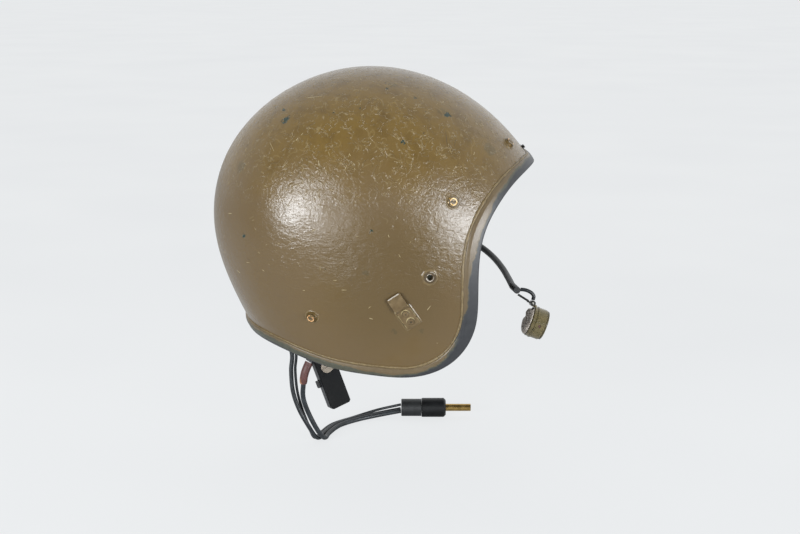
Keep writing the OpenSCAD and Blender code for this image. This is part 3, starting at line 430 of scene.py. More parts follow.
BOOM_PLASTIC = moulded("boom_nylon", "#191A1B", "#35383A", rough=0.45)
LEAD_SKIN = moulded("lead_neoprene", "#1B1F22", "#343A3F", rough=0.42, grain=1.4,
                    depth=0.03, scuffs=0.7)
SLEEVE_SKIN = shrunk_sleeve()
CUP_PLASTIC = moulded("ear_cup_abs", "#161718", "#2E3033", rough=0.46, grain=1.2,
                      depth=0.06)
SEAL_VINYL = grained_leather("seal_vinyl", "#101112", "#2A2B2C", rough=0.42)
PAD_LEATHER = grained_leather("pad_leather", "#231E18", "#4A4034", rough=0.55)
LINER_FOAM = open_foam("liner_foam", "#1B1C1C", "#3B3C3B", cell=1.8)
EAR_FOAM = open_foam("ear_foam", "#1A1A1A", "#3A3938", cell=0.9)
MOUTH = creased_cover_with_painted_light()
WEBBING = woven_webbing()


# ---------------------------------------------------------------- mesh helpers
def unit(v):
    """The vector or each of the vectors at length 1."""
    v = np.asarray(v, float)
    return v / np.linalg.norm(v, axis=-1, keepdims=True)


def around(count):
    """That many equal steps of a full turn."""
    return np.linspace(0, 2 * np.pi, count, endpoint=False)


def taper(count, first, power):
    """Factors for a stroke that is blunt at both ends and widest at its middle."""
    return np.sin(np.linspace(first, math.pi - first, count)) ** power


def make(name, points, faces, finish, body, slot, sharp=40, replaces=()):
    """A closed mesh from points in millimetres, riding on its body."""
    mesh = bpy.data.meshes.new(name)
    mesh.from_pydata((np.asarray(points, float) * MM).tolist(), [], faces)
    shape = bmesh.new()
    shape.from_mesh(mesh)
    bmesh.ops.recalc_face_normals(shape, faces=shape.faces)
    shape.to_mesh(mesh)
    shape.free()
    mesh.shade_smooth()
    mesh.set_sharp_from_angle(angle=math.radians(sharp))
    mesh.materials.append(finish)
    piece = bpy.data.objects.new(name, mesh)
    scene.collection.objects.link(piece)
    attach(piece, body)
    if replaces:
        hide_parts(*replaces)
    return piece


def skin(rings, tips=(None, None), loop=False):
    """Points and faces over closed rings. Tips are end points; without one an end is
    flat. A loop joins the last ring to the first."""
    rings = [np.asarray(r, float) for r in rings]
    m, n = len(rings), len(rings[0])
    points = [p for r in rings for p in r]
    faces = []
    for i in range(m if loop else m - 1):
        a, b = i * n, (i + 1) % m * n
        faces += [(a + j, b + j, b + (j + 1) % n, a + (j + 1) % n) for j in range(n)]
    if not loop:
        for tip, first in ((tips[0], 0), (tips[1], (m - 1) * n)):
            if tip is None:
                faces.append(tuple(range(first, first + n)))
            else:
                faces += [(len(points), first + j, first + (j + 1) % n) for j in range(n)]
                points.append(np.asarray(tip, float))
    return points, faces


def joined(parts):
    """Several (points, faces) as one."""
    points, faces = [], []
    for some, these in parts:
        k = len(points)
        points += list(some)
        faces += [tuple(i + k for i in f) for f in these]
    return points, faces


def route(points, k):
    """The smooth line through route points, k steps between each two."""
    p = np.array(points, float)
    p = np.concatenate([[2 * p[0] - p[1]], p, [2 * p[-1] - p[-2]]])
    line = []
    for a, b, c, d in zip(p, p[1:], p[2:], p[3:]):
        for u in np.arange(k) / k:
            line.append(b + 0.5 * u * ((c - a) + u * ((2 * a - 5 * b + 4 * c - d)
                                                      + u * (3 * (b - c) + d - a))))
    return np.array(line + [p[-2]])


def sweep(path, radii, sides):
    """Round rings along a path, turned as little as may be from one to the next."""
    path = np.asarray(path, float)
    radii = np.broadcast_to(radii, len(path))
    ways = unit(np.gradient(path, axis=0))
    turn = around(sides)[:, None]
    # Any direction will do that no path here starts along
    u = unit(np.cross(ways[0], (0.31, 0.22, 0.93)))
    rings = []
    for p, t, r in zip(path, ways, radii):
        u = unit(u - (u @ t) * t)
        rings.append(p + r * (np.cos(turn) * u + np.sin(turn) * np.cross(t, u)))
    return rings


def closed_tube(line, sideways, upward, radii):
    """A tube round a closed line, from the two axes and the radius at each point."""
    return skin([[p + r * (math.cos(t) * s + math.sin(t) * n) for t in around(10)]
                 for p, s, n, r in zip(line, sideways, upward, radii)], loop=True)


def rounded(corners, steps=4):
    """A closed outline in two dimensions from (x, y, radius) corners."""
    line = []
    n = len(corners)
    for i, (x, y, r) in enumerate(corners):
        p = np.array((x, y), float)
        a = np.array(corners[i - 1][:2], float) - p
        b = np.array(corners[(i + 1) % n][:2], float) - p
        la, lb = np.linalg.norm(a), np.linalg.norm(b)
        a, b = a / la, b / lb
        half = math.acos(np.clip(a @ b, -1, 1)) / 2
        cut = min(r / math.tan(half), 0.45 * la, 0.45 * lb)
        for s in np.linspace(0, 1, steps + 1):
            line.append((1 - s) ** 2 * (p + a * cut) + 2 * s * (1 - s) * p
                        + s * s * (p + b * cut))
    return np.array(line)


# ---------------------------------------------------------------- leads and plug
SLEEVE_ROUTE = [
    (-78.1, -3.1, -114), (-80.2, -4.6, -118.4), (-82, -5.2, -123.3), (-83.1, -5, -128.4),
    (-83.6, -4, -133.4)]
TAIL_ROUTE = [
    (-83.6, -3.9, -133.8), (-84.6, -0.6, -146), (-83.2, 2.4, -156), (-79.4, 5.4, -168),
    (-73.6, 8.8, -182), (-68.7, 15.4, -192.6), (-65.8, 24, -197.4), (-63, 36, -197.5),
    (-54, 56, -197.5), (-37, 72, -197.5), (-16, 81, -196), (5.7, 84.6, -193)]
LEAD_ROUTE = [
    (-123.2, 4, -55.1), (-115.8, 4.8, -70), (-104, 6, -87), (-94.8, 6.6, -107),
    (-95.6, 6.4, -125), (-94.3, 6, -145), (-88.8, 5.8, -163), (-80.6, 7.8, -180),
    (-74.6, 15.2, -193.2), (-70.9, 25, -197.6), (-67.6, 38, -197.7), (-58, 59.4, -197.7),
    (-39.4, 76.6, -197.7), (-17, 86, -196.4), (5.7, 89.6, -193)]
THIN_ROUTE = [
    (-123.2, 10, -55.1), (-115.2, 10, -69), (-102, 10.2, -86), (-91.4, 9.2, -107),
    (-92, 8.6, -125), (-90.6, 8.6, -145), (-86.6, 9.8, -163), (-81.4, 12.8, -180),
    (-77.8, 18.6, -193.4), (-74.9, 26, -198.4), (-71.6, 39.4, -198.5),
    (-61.4, 62.4, -198.5), (-42, 80.6, -198.5), (-18, 89.8, -194), (5.7, 87.2, -187.4)]


def lead(name, points, radius):
    """A lead from the helmet to the shared plug, lying where its solid lies."""
    path = route(points, 8)
    made = make(name + "_cable", *skin(sweep(path, radius, 24)), LEAD_SKIN, "helmet",
                "lead_rubber", replaces=[name])


lead("lead_headset", LEAD_ROUTE, 2.0)
lead("lead_thin", THIN_ROUTE, 1.3)
lead("lead_tail", TAIL_ROUTE, 2.25)
sleeve_line = route(SLEEVE_ROUTE, 8)
sleeve_radii = np.interp(np.linspace(0, 1, len(sleeve_line)),
                         [0, 0.06, 0.5, 0.9, 1], [3.9, 3.8, 3.75, 3.6, 3.3])
make("lead_sleeve_shrunk", *skin(sweep(sleeve_line, sleeve_radii, 24)), SLEEVE_SKIN,
     "helmet", "sleeve_brown", replaces=["lead_sleeve"])


# ---------------------------------------------------------------- shell surface
# The shell's control points: how far it reaches from its middle, every 30 degrees up
# from the front, and the right half of its rim and of the liner's, from brow to nape
REACHES = np.array([169, 147, 137, 133, 131, 135, 133, 127, 147, 185, 204, 191], float)
REACH_STEP = 360 / len(REACHES)
HALF_WIDTH, SQUARENESS, WALL = 119, 2.3, 4
MIRROR = np.array((1, -1, 1))
MIDDLE = np.array((-26.0, 0.0, 20.0))
POLE = np.array((-0.574, 0.0, 0.819))
EDGE_LINE = [
    (126, 0, 72), (119, -33, 74), (104, -73, 68), (87, -94, 51), (73, -105, 29),
    (70, -109, 2), (70, -107, -26), (70, -103, -56), (53, -101, -86), (19, -102, -99),
    (-19, -105, -94), (-51, -101, -91), (-88, -89, -78), (-114, -65, -72),
    (-129, -33, -72), (-134, 0, -71)]
LINER_LINE = [
    (118, 0, 88), (112, -35, 88), (97, -68, 82), (79, -92, 62), (60, -102, 47),
    (35, -107, 44), (5, -109, 45), (-25, -108, 45), (-45, -108, 40), (-50, -107, 20),
    (-50, -106, -12), (-52, -103, -42), (-68, -94, -58), (-100, -70, -46),
    (-126, -34, -30), (-134, 0, -27)]


def spline(a, b, c, d, u):
    """The place at share u of the step from b to c, on a smooth line near all four."""
    return ((1 - u) ** 3 * a + (3 * u ** 3 - 6 * u * u + 4) * b
            + (-3 * u ** 3 + 3 * u * u + 3 * u + 1) * c + u ** 3 * d) / 6


def reach(turn):
    """How far the surface is from the shell's middle at that angle in its mid-plane."""
    step = (turn % 360) / REACH_STEP
    i = np.floor(step).astype(int)
    return spline(*(REACHES[(i + k) % len(REACHES)] for k in (-1, 0, 1, 2)), step - i)


def level(d, off):
    """1 where d ends on the surface moved out by off, less inside and more outside."""
    turn = np.degrees(np.arctan2(d[..., 2], d[..., 0]))
    return ((np.hypot(d[..., 0], d[..., 2]) / (reach(turn) + off)) ** SQUARENESS
            + (np.abs(d[..., 1]) / (HALF_WIDTH + off)) ** SQUARENESS)


def surface(d, off=0.0):
    """Where direction d from the shell's middle meets its surface, moved out by off."""
    d = np.asarray(d, float)
    return MIDDLE + d * (level(d, off) ** (-1 / SQUARENESS))[..., None]


def outward(q):
    """The direction square to the surface at q."""
    d = np.asarray(q, float) - MIDDLE
    return unit(np.stack([level(d + s, 0) - level(d - s, 0)
                          for s in np.eye(3) * 0.5], axis=-1))


def side_at(x, z):
    """The point on the right side of the shell at that x and z."""
    d = np.array((x - MIDDLE[0], 0, z - MIDDLE[2]))
    share = np.linalg.norm(d) / reach(np.degrees(np.arctan2(d[2], d[0])))
    return np.array((x, -HALF_WIDTH * (1 - share ** SQUARENESS) ** (1 / SQUARENESS), z))


def seat(q):
    """Axes at a point of the shell: forward along it, up along it, and outward."""
    n = outward(q)
    v = unit(np.cross(n, (1, 0, 0)))
    return np.cross(v, n), v, n


def line_points(line, count):
    """Points of the surface along a rim, from the control points of its right half."""
    half = np.array(line, float)
    whole = np.concatenate([half, half[-2:0:-1] * MIRROR])
    step = np.arange(count) * len(whole) / count
    i = np.floor(step).astype(int)
    p = spline(*(whole[(i + k) % len(whole)] for k in (-1, 0, 1, 2)), (step - i)[:, None])
    return surface(p - MIDDLE)


def inward(points):
    """The directions from a rim's points into the shell's surface."""
    along = unit(np.roll(points, -1, 0) - np.roll(points, 1, 0))
    return unit(np.cross(along, outward(points)))


def slerp(a, b, f):
    """Directions at share f of the turn from a to b."""
    w = np.arccos(np.clip((a * b).sum(-1), -1, 1))[..., None]
    return (a * np.sin((1 - f) * w) + b * np.sin(f * w)) / np.sin(w)


STATIONS = 360
EDGE = line_points(EDGE_LINE, STATIONS)
EDGE_IN = inward(EDGE)
EDGE_SET = 2.8


def edge_point(s, off):
    """Points along the rim, s in from the edge line and off out from the surface."""
    return surface(EDGE + EDGE_IN * np.reshape(s, (-1, 1)) - MIDDLE, off)


def dome(rim, rows, off):
    """Rings over the shell from near its pole to a rim."""
    ways = unit(rim - MIDDLE)
    return [surface(slerp(POLE, ways, j / rows), off) for j in range(1, rows + 1)]


def hole_cutter(q, radius):
    """A short rod through the shell at q."""
    u, v, n = seat(q)
    turn = around(32)[:, None]
    ring = radius * (np.cos(turn) * u + np.sin(turn) * v)
    return skin([q + ring - 12 * n, q + ring + 6 * n])


def mirrored(part):
    """The same points and faces on the other side of the helmet."""
    points, faces = part
    return [np.asarray(p) * MIRROR for p in points], faces


def cut(piece, cutters):
    """Cuts the piece by closed solids and drops them."""
    mesh = bpy.data.meshes.new("cutter")
    points, faces = joined(cutters)
    mesh.from_pydata((np.array(points) * MM).tolist(), [], faces)
    tool = bpy.data.objects.new("cutter", mesh)
    scene.collection.objects.link(tool)
    change = piece.modifiers.new("holes", "BOOLEAN")
    change.operation, change.solver, change.object = "DIFFERENCE", "EXACT", tool
    settle(piece)
    bpy.data.objects.remove(tool)


def settle(piece):
    """Applies the piece's modifiers to its mesh."""
    bpy.context.view_layer.update()
    graph = bpy.context.evaluated_depsgraph_get()
    mesh = bpy.data.meshes.new_from_object(piece.evaluated_get(graph))
    piece.modifiers.clear()
    piece.data = mesh


HOLE = side_at(29, -6)
RIM = edge_point(EDGE_SET, 0)
outer = dome(RIM, 108, 0)
inner = dome(RIM, 26, -WALL)[::-1]
tips = [surface(POLE, off) for off in (0, -WALL)]
shell = make("shell_painted", *skin(outer + inner, tips), ENAMEL, "helmet", "shell_paint",
             replaces=["shell"])
eyelet_rod = hole_cutter(HOLE, 3.3)
cut(shell, [eyelet_rod, mirrored(eyelet_rod)])

# ---------------------------------------------------------------- edge trim
TRIM_LEG, TRIM_LEG_FACE, TRIM_LEG_IN, RUBBER, TRIM_GAP = 8, 13, 8, 2.4, 0.45
TRIM_TOP, TRIM_LOW = TRIM_GAP, -WALL - TRIM_GAP
out_y = np.abs(outward(EDGE)[:, 1])
LEG = TRIM_LEG + (TRIM_LEG_FACE - TRIM_LEG) * np.maximum(0, -EDGE_IN[:, 0]) * out_y
# Each station's place from 0 at the brow to NAPE at the nape, down either side, then the
# share of the outer leg that the olive paint reaches there, and the film past it
NAPE = len(EDGE_LINE) - 1
ALONG = np.abs((np.arange(STATIONS) * 2 * NAPE / STATIONS + NAPE) % (2 * NAPE) - NAPE)
COVER = np.interp(ALONG, [0, 1, 2, 2.6, 3, 3.6, 4.2, 4.8, 5.2, 5.8, 6.2, 6.6, 7.2, 7.8,
                          8.3, 9, 9.6, 10.3, 11, 12, 15],
                  [0.1, 0.16, 0.24, 0.36, 0.52, 0.68, 0.74, 0.56, 0.4, 0.26, 0.12, 0.0,
                   -0.08, 0.02, 0.28, 0.38, 0.52, 0.36, 0.22, 0.14, 0.12])
FILM = np.interp(ALONG, [0, 1.5, 2.5, 3.2, 7, 8, 9, 10, 11, 12, 15],
                 [0.04, 0.14, 0.2, 0.03, 0.03, 0.1, 0.12, 0.3, 0.6, 0.5, 0.4])


def trim_section(w):
    """The U section with an outer leg of w: (in from the edge line, out from the shell)."""
    return rounded([
        (w, TRIM_TOP, 0.1), (w, TRIM_TOP + 1.3, 0.7), (w - 2.2, TRIM_TOP + RUBBER, 2.0),
        (0.2, TRIM_TOP + RUBBER, 2.2), (-0.1, -WALL / 2, 2.0),
        (0.2, TRIM_LOW - RUBBER, 2.2), (TRIM_LEG_IN, TRIM_LOW - RUBBER, 1.0),
        (TRIM_LEG_IN, TRIM_LOW, 0.2), (EDGE_SET - 0.3, TRIM_LOW, 0.2),
        (EDGE_SET - 0.3, TRIM_TOP, 0.2)])


sections = np.array([trim_section(w) for w in LEG])
# The outer leg's end waves a little
wave = 0.35 * np.array([noise.noise(Vector(p) * 0.03) for p in EDGE])
rings = [edge_point(s + wave * (s > 6), out) for s, out in sections.transpose(1, 2, 0)]
trim = make("edge_trim_rubber", *skin(np.stack(rings, axis=1), loop=True), TRIM, "helmet",
            "trim_rubber", replaces=["edge_trim"], sharp=60)
share = 1 - sections[:, :, 0] / LEG[:, None]
for mark, reached in (("overspray", COVER), ("film", COVER + FILM)):
    brush = (reached[:, None] - share) * 1.15
    brush[sections[:, :, 1] < 0] = -2
    held = trim.data.attributes.new(mark, "FLOAT", "POINT")
    held.data.foreach_set("value", brush.astype(np.float32).ravel())

# A bead of paint along the trim's upper edge
lumps = np.array([noise.noise(Vector(p) * 0.21) + noise.noise(Vector(p) * 0.06)
                  for p in EDGE])
bead_line = edge_point(LEG + 0.25 + wave, 0.2)
bead_size = np.interp(ALONG, [0, 6, 8, 10, 12, 15],
                      [1.152, 1.152, 0.992, 0.8, 0.64, 0.576]) * (1 + 0.45 * lumps)
make("trim_paint_bead", *closed_tube(bead_line, EDGE_IN, outward(bead_line), bead_size),
     BEAD, "helmet", "shell_paint")


# ---------------------------------------------------------------- paint round the fasteners
def fillet(q, radius, reach_out, tall, seed):
    """A raised ring of paint round a fastener at q, uneven as brushed paint is."""
    u, v, n = seat(q)
    rings = []
    for t in around(48):
        way = math.cos(t) * u + math.sin(t) * v
        lump = 1 + 0.35 * noise.noise(Vector((2 * math.cos(t), 2 * math.sin(t), seed)))
        wide, up = reach_out * lump, tall * lump
        rings.append([q + way * (radius + wide * a) + n * b for a, b in (
            (0, -0.4), (0, up * 0.85), (0.18, up), (0.45, up * 0.72), (0.75, up * 0.2),
            (1, -0.4))])
    return skin(rings, loop=True)


def both_sides(name, parts, finish, slot="shell_paint"):
    """One piece on the helmet from parts of its right side and their mirror images."""
    make(name, *joined(parts + [mirrored(p) for p in parts]), finish, "helmet", slot)


def worn_arc(q, line, high, thick):
    """A worn edge on a fastener at q: (radius, angle in degrees) points at that height."""
    u, v, n = seat(q)
    line = np.array(line, float)
    steps = np.linspace(0, len(line) - 1, 6 * len(line))
    r = np.interp(steps, np.arange(len(line)), line[:, 0])
    t = np.radians(np.interp(steps, np.arange(len(line)), line[:, 1]))
    path = [q + a * (math.cos(k) * u + math.sin(k) * v) + n * high for a, k in zip(r, t)]
    return skin(sweep(path, thick * taper(len(path), 0.3, 0.4), 8))


FRONT_SCREW, REAR_SCREW, BROW_SCREW = [
    side_at(*p) for p in ((47, 54), (-67, -41), (96.5, 92.5))]
HEAD_HIGH, SLOT_R = 2.62, 1.8
both_sides("fastener_paint", [fillet(HOLE, 5.05, 2.2, 0.55, 1.3)]
           + [fillet(q, 4.8, 1.5, 0.42, k + 4.1)
              for k, q in enumerate((FRONT_SCREW, REAR_SCREW, BROW_SCREW))], POOL)
both_sides("screw_wear_and_glint_front", [
    worn_arc(FRONT_SCREW, [(2.7, a) for a in range(-160, 171, 30)], HEAD_HIGH, 0.62),
    worn_arc(FRONT_SCREW, [(0.9, 80), (0.3, 80)], HEAD_HIGH + 0.1, 0.3),
    worn_arc(FRONT_SCREW, [(4.15, 182), (4.15, 196)], 1.95, 0.5)], BRASS_WEAR_AND_GLINT)
turns = around(10)[:, None]
# Dark discs over the screw slots: painted shade in the recesses
both_sides("screw_slot_painted_shade", [
    skin([q + n * h + SLOT_R * (np.cos(turns) * u + np.sin(turns) * v)
          for h in (HEAD_HIGH - 0.6, HEAD_HIGH + 0.06)])
    for q in (FRONT_SCREW, REAR_SCREW) for u, v, n in [seat(q)]], DIRT_AND_SHADE)
both_sides("screw_wear_rear", [
    worn_arc(REAR_SCREW, [(2.7, 100), (2.7, 140), (2.6, 200), (2.6, 270), (2.6, 330),
                          (2, 372), (1, 415)], HEAD_HIGH + 0.05, 0.42),
    worn_arc(BROW_SCREW, [(3, 120), (3, 190)], HEAD_HIGH, 0.36),
    worn_arc(BROW_SCREW, [(3, -40), (3, 15)], HEAD_HIGH, 0.3)], ORANGE_BRASS)
both_sides("eyelet_wear", [
    worn_arc(HOLE, [(2.9, a) for a in range(-185, 31, 20)], 1.15, 0.42),
    worn_arc(HOLE, [(2.9, a) for a in range(70, 151, 20)], 1.12, 0.3),
    worn_arc(HOLE, [(4.75, 30), (4.8, 62), (4.75, 92)], 1.0, 0.34)], WORN_ALLOY)
clip_q = side_at(11.5, -39.5)
clip_u, clip_v, clip_n = seat(clip_q)
clip_turn = math.radians(-57)
CLIP_BEND, RIVETS = 114, (-4, 4)
clip_x = math.cos(clip_turn) * clip_u + math.sin(clip_turn) * clip_v
clip_y = -math.sin(clip_turn) * clip_u + math.cos(clip_turn) * clip_v


def clip_point(x, y, z):
    """A point of the lead clip: x along it, y across and z out from the bent shell."""
    return clip_q + x * clip_x + y * clip_y + (z - x * x / (2 * CLIP_BEND)) * clip_n


def rivet_highlight_arc(x):
    """A raised pale arc round one side of the rivet head at x: a painted highlight."""
    line = [clip_point(x + 3.4 * math.cos(t), 3.4 * math.sin(t), 1.45)
            for t in np.radians(np.linspace(75, 250, 14))]
    return skin(sweep(line, 0.5 * taper(14, 0.25, 0.5), 8))


# Pale arcs by the rivets and pale lines along the clip's edges: painted highlights
both_sides("clip_painted_highlight_arcs", [rivet_highlight_arc(x) for x in RIVETS], BARE_FIBRE_AND_HIGHLIGHT, "clip_paint")
both_sides("clip_painted_highlight_edges", [
    skin(sweep([clip_point(x, side * 5.95, z) for x, z in stops], 0.22, 8))
    for side in (-1, 1)
    for stops in (((8.4, 1.3), (4, 1.3)), ((1.5, 1.3), (-3, 1.3), (-6, 1.3)),
                  ((-9.5, 3.4), (-11, 3.75)))], BARE_FIBRE_AND_HIGHLIGHT, "clip_paint")
# Dark discs in the hollow rivets: painted shade
both_sides("rivet_pit_painted_shade", [
    skin(sweep([clip_point(x, 0, z) for z in (2.2, 3.05)], 0.75, 10)) for x in RIVETS],
    DIRT_AND_SHADE, "clip_paint")
lip = [clip_point(-22.3, y, 4.05) for y in np.linspace(-5.1, 5.1, 9)]
both_sides("clip_lip_scraped", [skin(sweep(lip, 0.5, 12))], WORN_ALLOY, "clip_paint")
skirt = [(9.8, -5.2), (9.8, 5.2), (8.4, 6.6), (0, 6.6), (-7.6, 6.6), (-9, 5.4), (-9, -5.4),
         (-7.6, -6.6), (0, -6.6), (8.4, -6.6)]
skirt = route([skirt[-1]] + skirt + skirt[:2], 6)[6:-6]
both_sides("clip_paint_skirt", [skin(
    [[clip_point(x * f, y * f * 1.02, z) for f, z in (
        (0.9, -0.3), (0.94, 0.55), (1.0, 0.5), (1.1, 0.12), (1.18, -0.3))]
     for x, y in skirt[:-1]], loop=True)], POOL, "clip_paint")

# ---------------------------------------------------------------- fibres and scratches
pick = random.Random(7)
SUNK, TRIM_CLEAR = 0.12, 15
FIBRE_COUNT, SCRATCH_COUNT, DIRTY_COUNT = 420, 130, 90


def ridge(points, wide, tall):
    """A long flat lens along points of the shell, for a fibre or a scratch."""
    points = np.asarray(points, float)
    along = unit(np.gradient(points, axis=0))
    out = outward(points)
    side = np.cross(out, along)
    rings = []
    for p, n, w, f in zip(points, out, side, taper(len(points), 0.22, 0.6)):
        rings.append([p + w * wide / 2 * f * a + n * b for a, b in (
            (1, -SUNK), (0.92, 0), (0.5, tall * 0.75 * f), (0, tall * f),
            (-0.5, tall * 0.75 * f), (-0.92, 0), (-1, -SUNK))])
    return skin(rings)


def on_side(places, steps):
    """Points of the shell's right side through (x, z) places."""
    line = route([(x, z, 0) for x, z in places], steps)
    return np.array([side_at(x, z) for x, z, _ in line])


def wander(q, length, curl, count=9):
    """Points of the shell from q on, in a random direction with a steady curl."""
    angle = pick.uniform(0, 2 * math.pi)
    bend = pick.uniform(-curl, curl)
    line = [q]
    for _ in range(count - 1):
        u, v, n = seat(line[-1])
        step = line[-1] + (math.cos(angle) * u + math.sin(angle) * v) * length / (count - 1)
        line.append(surface(unit(step - MIDDLE)))
        angle += bend / count + pick.uniform(-0.2, 0.2)
    return np.array(line)


def on_paint(q):
    """Whether q is on the painted shell, clear of the trim."""
    near = shell.closest_point_on_mesh(Vector(q * MM))[1]
    return ((near - Vector(q * MM)).length < 0.3 * MM
            and np.linalg.norm(EDGE - q, axis=1).min() > TRIM_CLEAR)


def anywhere():
    """A random point of the painted shell."""
    while True:
        q = surface(unit(np.array([pick.gauss(0, 1) for _ in range(3)])))
        if on_paint(q):
            return q


# Loose glass fibres under the paint, the boldest ones by (x, z) places
FIBRES = [
    [(-14, 132), (-12, 133), (-9, 130), (-9, 127)],
    [(-14, 126), (-12, 123), (-14, 122), (-17, 123)],
    [(-5, 127), (-4, 129), (-1, 130), (1, 130), (4, 126), (7, 122)],
    [(11, 128), (15, 126), (19, 126)], [(7, 119), (10, 118), (13, 117), (14, 114)],
    [(26, 113), (27, 109), (26, 106), (22, 105), (20, 103)], [(10, 116), (9, 111)],
    [(-25, 112), (-21, 110), (-19, 105), (-15, 101)], [(-14, 105), (-11, 105)],
    [(-12, 96), (-7, 95), (-4, 91), (1, 89), (8, 86)], [(-31, 134), (-28, 135)],
    [(-21, 134), (-17, 135)], [(-40, 122), (-31, 122)], [(6, 106), (9, 103)],
    [(-8, 100), (-7, 97), (-11, 95)], [(-37, 109), (-33, 107), (-34, 103)],
    [(-22, 99), (-20, 94)]]
strands = [ridge(on_side(places, 5), 1.5, 0.22) for places in FIBRES]
while len(strands) < FIBRE_COUNT:
    q = anywhere()
    if q[2] > 62 + 20 * pick.random() and q[2] < 148 or (q[2] > -5 and pick.random() < 0.12):
        strands.append(ridge(wander(q, pick.uniform(4, 11), 5.0), pick.uniform(0.9, 1.4),
                             pick.uniform(0.05, 0.1)))
make("fibres_under_paint", *joined(strands), RIDGE, "helmet", "shell_paint")

# Bare scratches by the (x, z) of their ends, and some more at random
SCRATCHES = [
    ((-39, 152), (-37, 150)), ((-73, 107), (-75, 105)), ((-77, 103), (-79, 101)),
    ((-80, 101), (-81, 100)), ((-37, 84), (-39, 80)), ((-35, 93), (-36, 90)),
    ((-73, 132), (-59, 134)), ((71, 110), (73, 108)), ((72, 121), (74, 119)),
    ((-101, 98), (-97, 92)), ((-111, 11), (-109, 10)), ((-138, 38), (-134, 39)),
    ((-42, -16), (-38, -16)), ((-52, 94), (-51, 91)), ((-60, 87), (-59, 83)),
    ((-2, 133), (1, 134)), ((35, 127), (36, 128)), ((40, 128), (41, 129)),
    ((-26, 121), (-24, 122)), ((-35, 92), (-34, 91)), ((-132, -10), (-129, -12)),
    ((-49, -8), (-46, -8)), ((-74, -18), (-72, -18)), ((-108, -4), (-106, -5)),
    ((-65, 32), (-62, 34)), ((-20, -40), (-17, -41)), ((27, -34), (30, -30)),
    ((-122, 0), (-119, 0))]
cuts = [ridge(on_side(ends, 6), 0.5, 0.05) for ends in SCRATCHES]
while len(cuts) < SCRATCH_COUNT:
    q = anywhere()
    if q[2] > -20 or pick.random() < 0.25:
        cuts.append(ridge(wander(q, pick.uniform(0.8, 3.4), 0.8, 5),
                          pick.uniform(0.22, 0.42), 0.04))
make("paint_scratches", *joined(cuts), BARE_FIBRE_AND_HIGHLIGHT, "helmet", "shell_paint")
marks = [ridge(on_side(ends, 6), 0.4, 0.03) for ends in (
    ((42, 108), (43, 97)), ((50, 101), (49, 96)), ((-111, 113), (-111, 115)),
    ((-88, 49), (-86, 45)), ((12, 148), (16, 146)))]
while len(marks) < DIRTY_COUNT:
    q = anywhere()
    if q[2] > -40:
        marks.append(ridge(wander(q, pick.uniform(0.6, 3), 0.8, 5), pick.uniform(0.25, 0.5),
                           0.03))
make("dirty_scratches", *joined(marks), DIRT_AND_SHADE, "helmet", "shell_paint")

# ---------------------------------------------------------------- foam liner and pads
LINER_OUT, LINER_IN = -WALL - 0.6, -WALL - 9.1
PAD_BASE = LINER_IN - 1.2
LINER_ROWS, LINER_LAP = 40, 1.6
liner_rim = line_points(LINER_LINE, 240)
liner_in = inward(liner_rim)


def liner_edge(s, off):
    """Points along the liner's rim, s in from it and off out from the shell's surface."""
    return surface(liner_rim + liner_in * s - MIDDLE, off)


faces_of_liner = [dome(liner_edge(LINER_LAP, 0), LINER_ROWS, off)
                  for off in (LINER_OUT, LINER_IN)]
rolled_edge = [liner_edge(s, LINER_OUT + (LINER_IN - LINER_OUT) * f)
               for s, f in ((0.6, 0.06), (0, 0.22), (-0.2, 0.5), (0, 0.78), (0.6, 0.94))]
tips = [surface(POLE, off) for off in (LINER_OUT, LINER_IN)]
make("liner_foam_shell", *skin(faces_of_liner[0] + rolled_edge + faces_of_liner[1][::-1],
                               tips),
     LINER_FOAM, "helmet", "liner_foam", replaces=["liner"])


def pad_way(a, b):
    """The direction a degrees up from the front and b degrees to the right."""
    a, b = np.radians(a), np.radians(b)
    return np.stack([np.cos(b) * np.cos(a), -np.sin(b), np.cos(b) * np.sin(a)], -1)


def bent(v, power):
    """The value to that power, with its sign kept."""
    return np.sign(v) * np.abs(v) ** power


def pad_outline(a, b, ha, hb, count, f):
    """Directions round a pad's rounded outline at share f of its size."""
    t = around(count)
    return pad_way(a + ha * f * bent(np.cos(t), 0.7), b + hb * f * bent(np.sin(t), 0.7))


def crowned_pad(a, b, ha, hb, thick, side):
    """A crowned pad that lies on the liner, from its back to its face."""
    rings = [surface(pad_outline(a, b, ha, hb, 72, f * 0.97), PAD_BASE - thick * h)
             * (1, side, 1)
             for f, h in ((0.3, 0.02), (0.65, 0.02), (0.92, 0.02), (0.99, 0.12), (1.0, 0.34),
                          (0.97, 0.6), (0.9, 0.78), (0.76, 0.9), (0.5, 0.97), (0.22, 1.0))]
    tips = [surface(pad_way(a, b), PAD_BASE - thick * h) * (1, side, 1) for h in (0.02, 1.0)]
    return skin(rings, tips)


PUFF_VOXEL, PUFF_FRAMES, PUFF_CAP, PUFF_HOLD = 3.6, 18, 3.0, 3


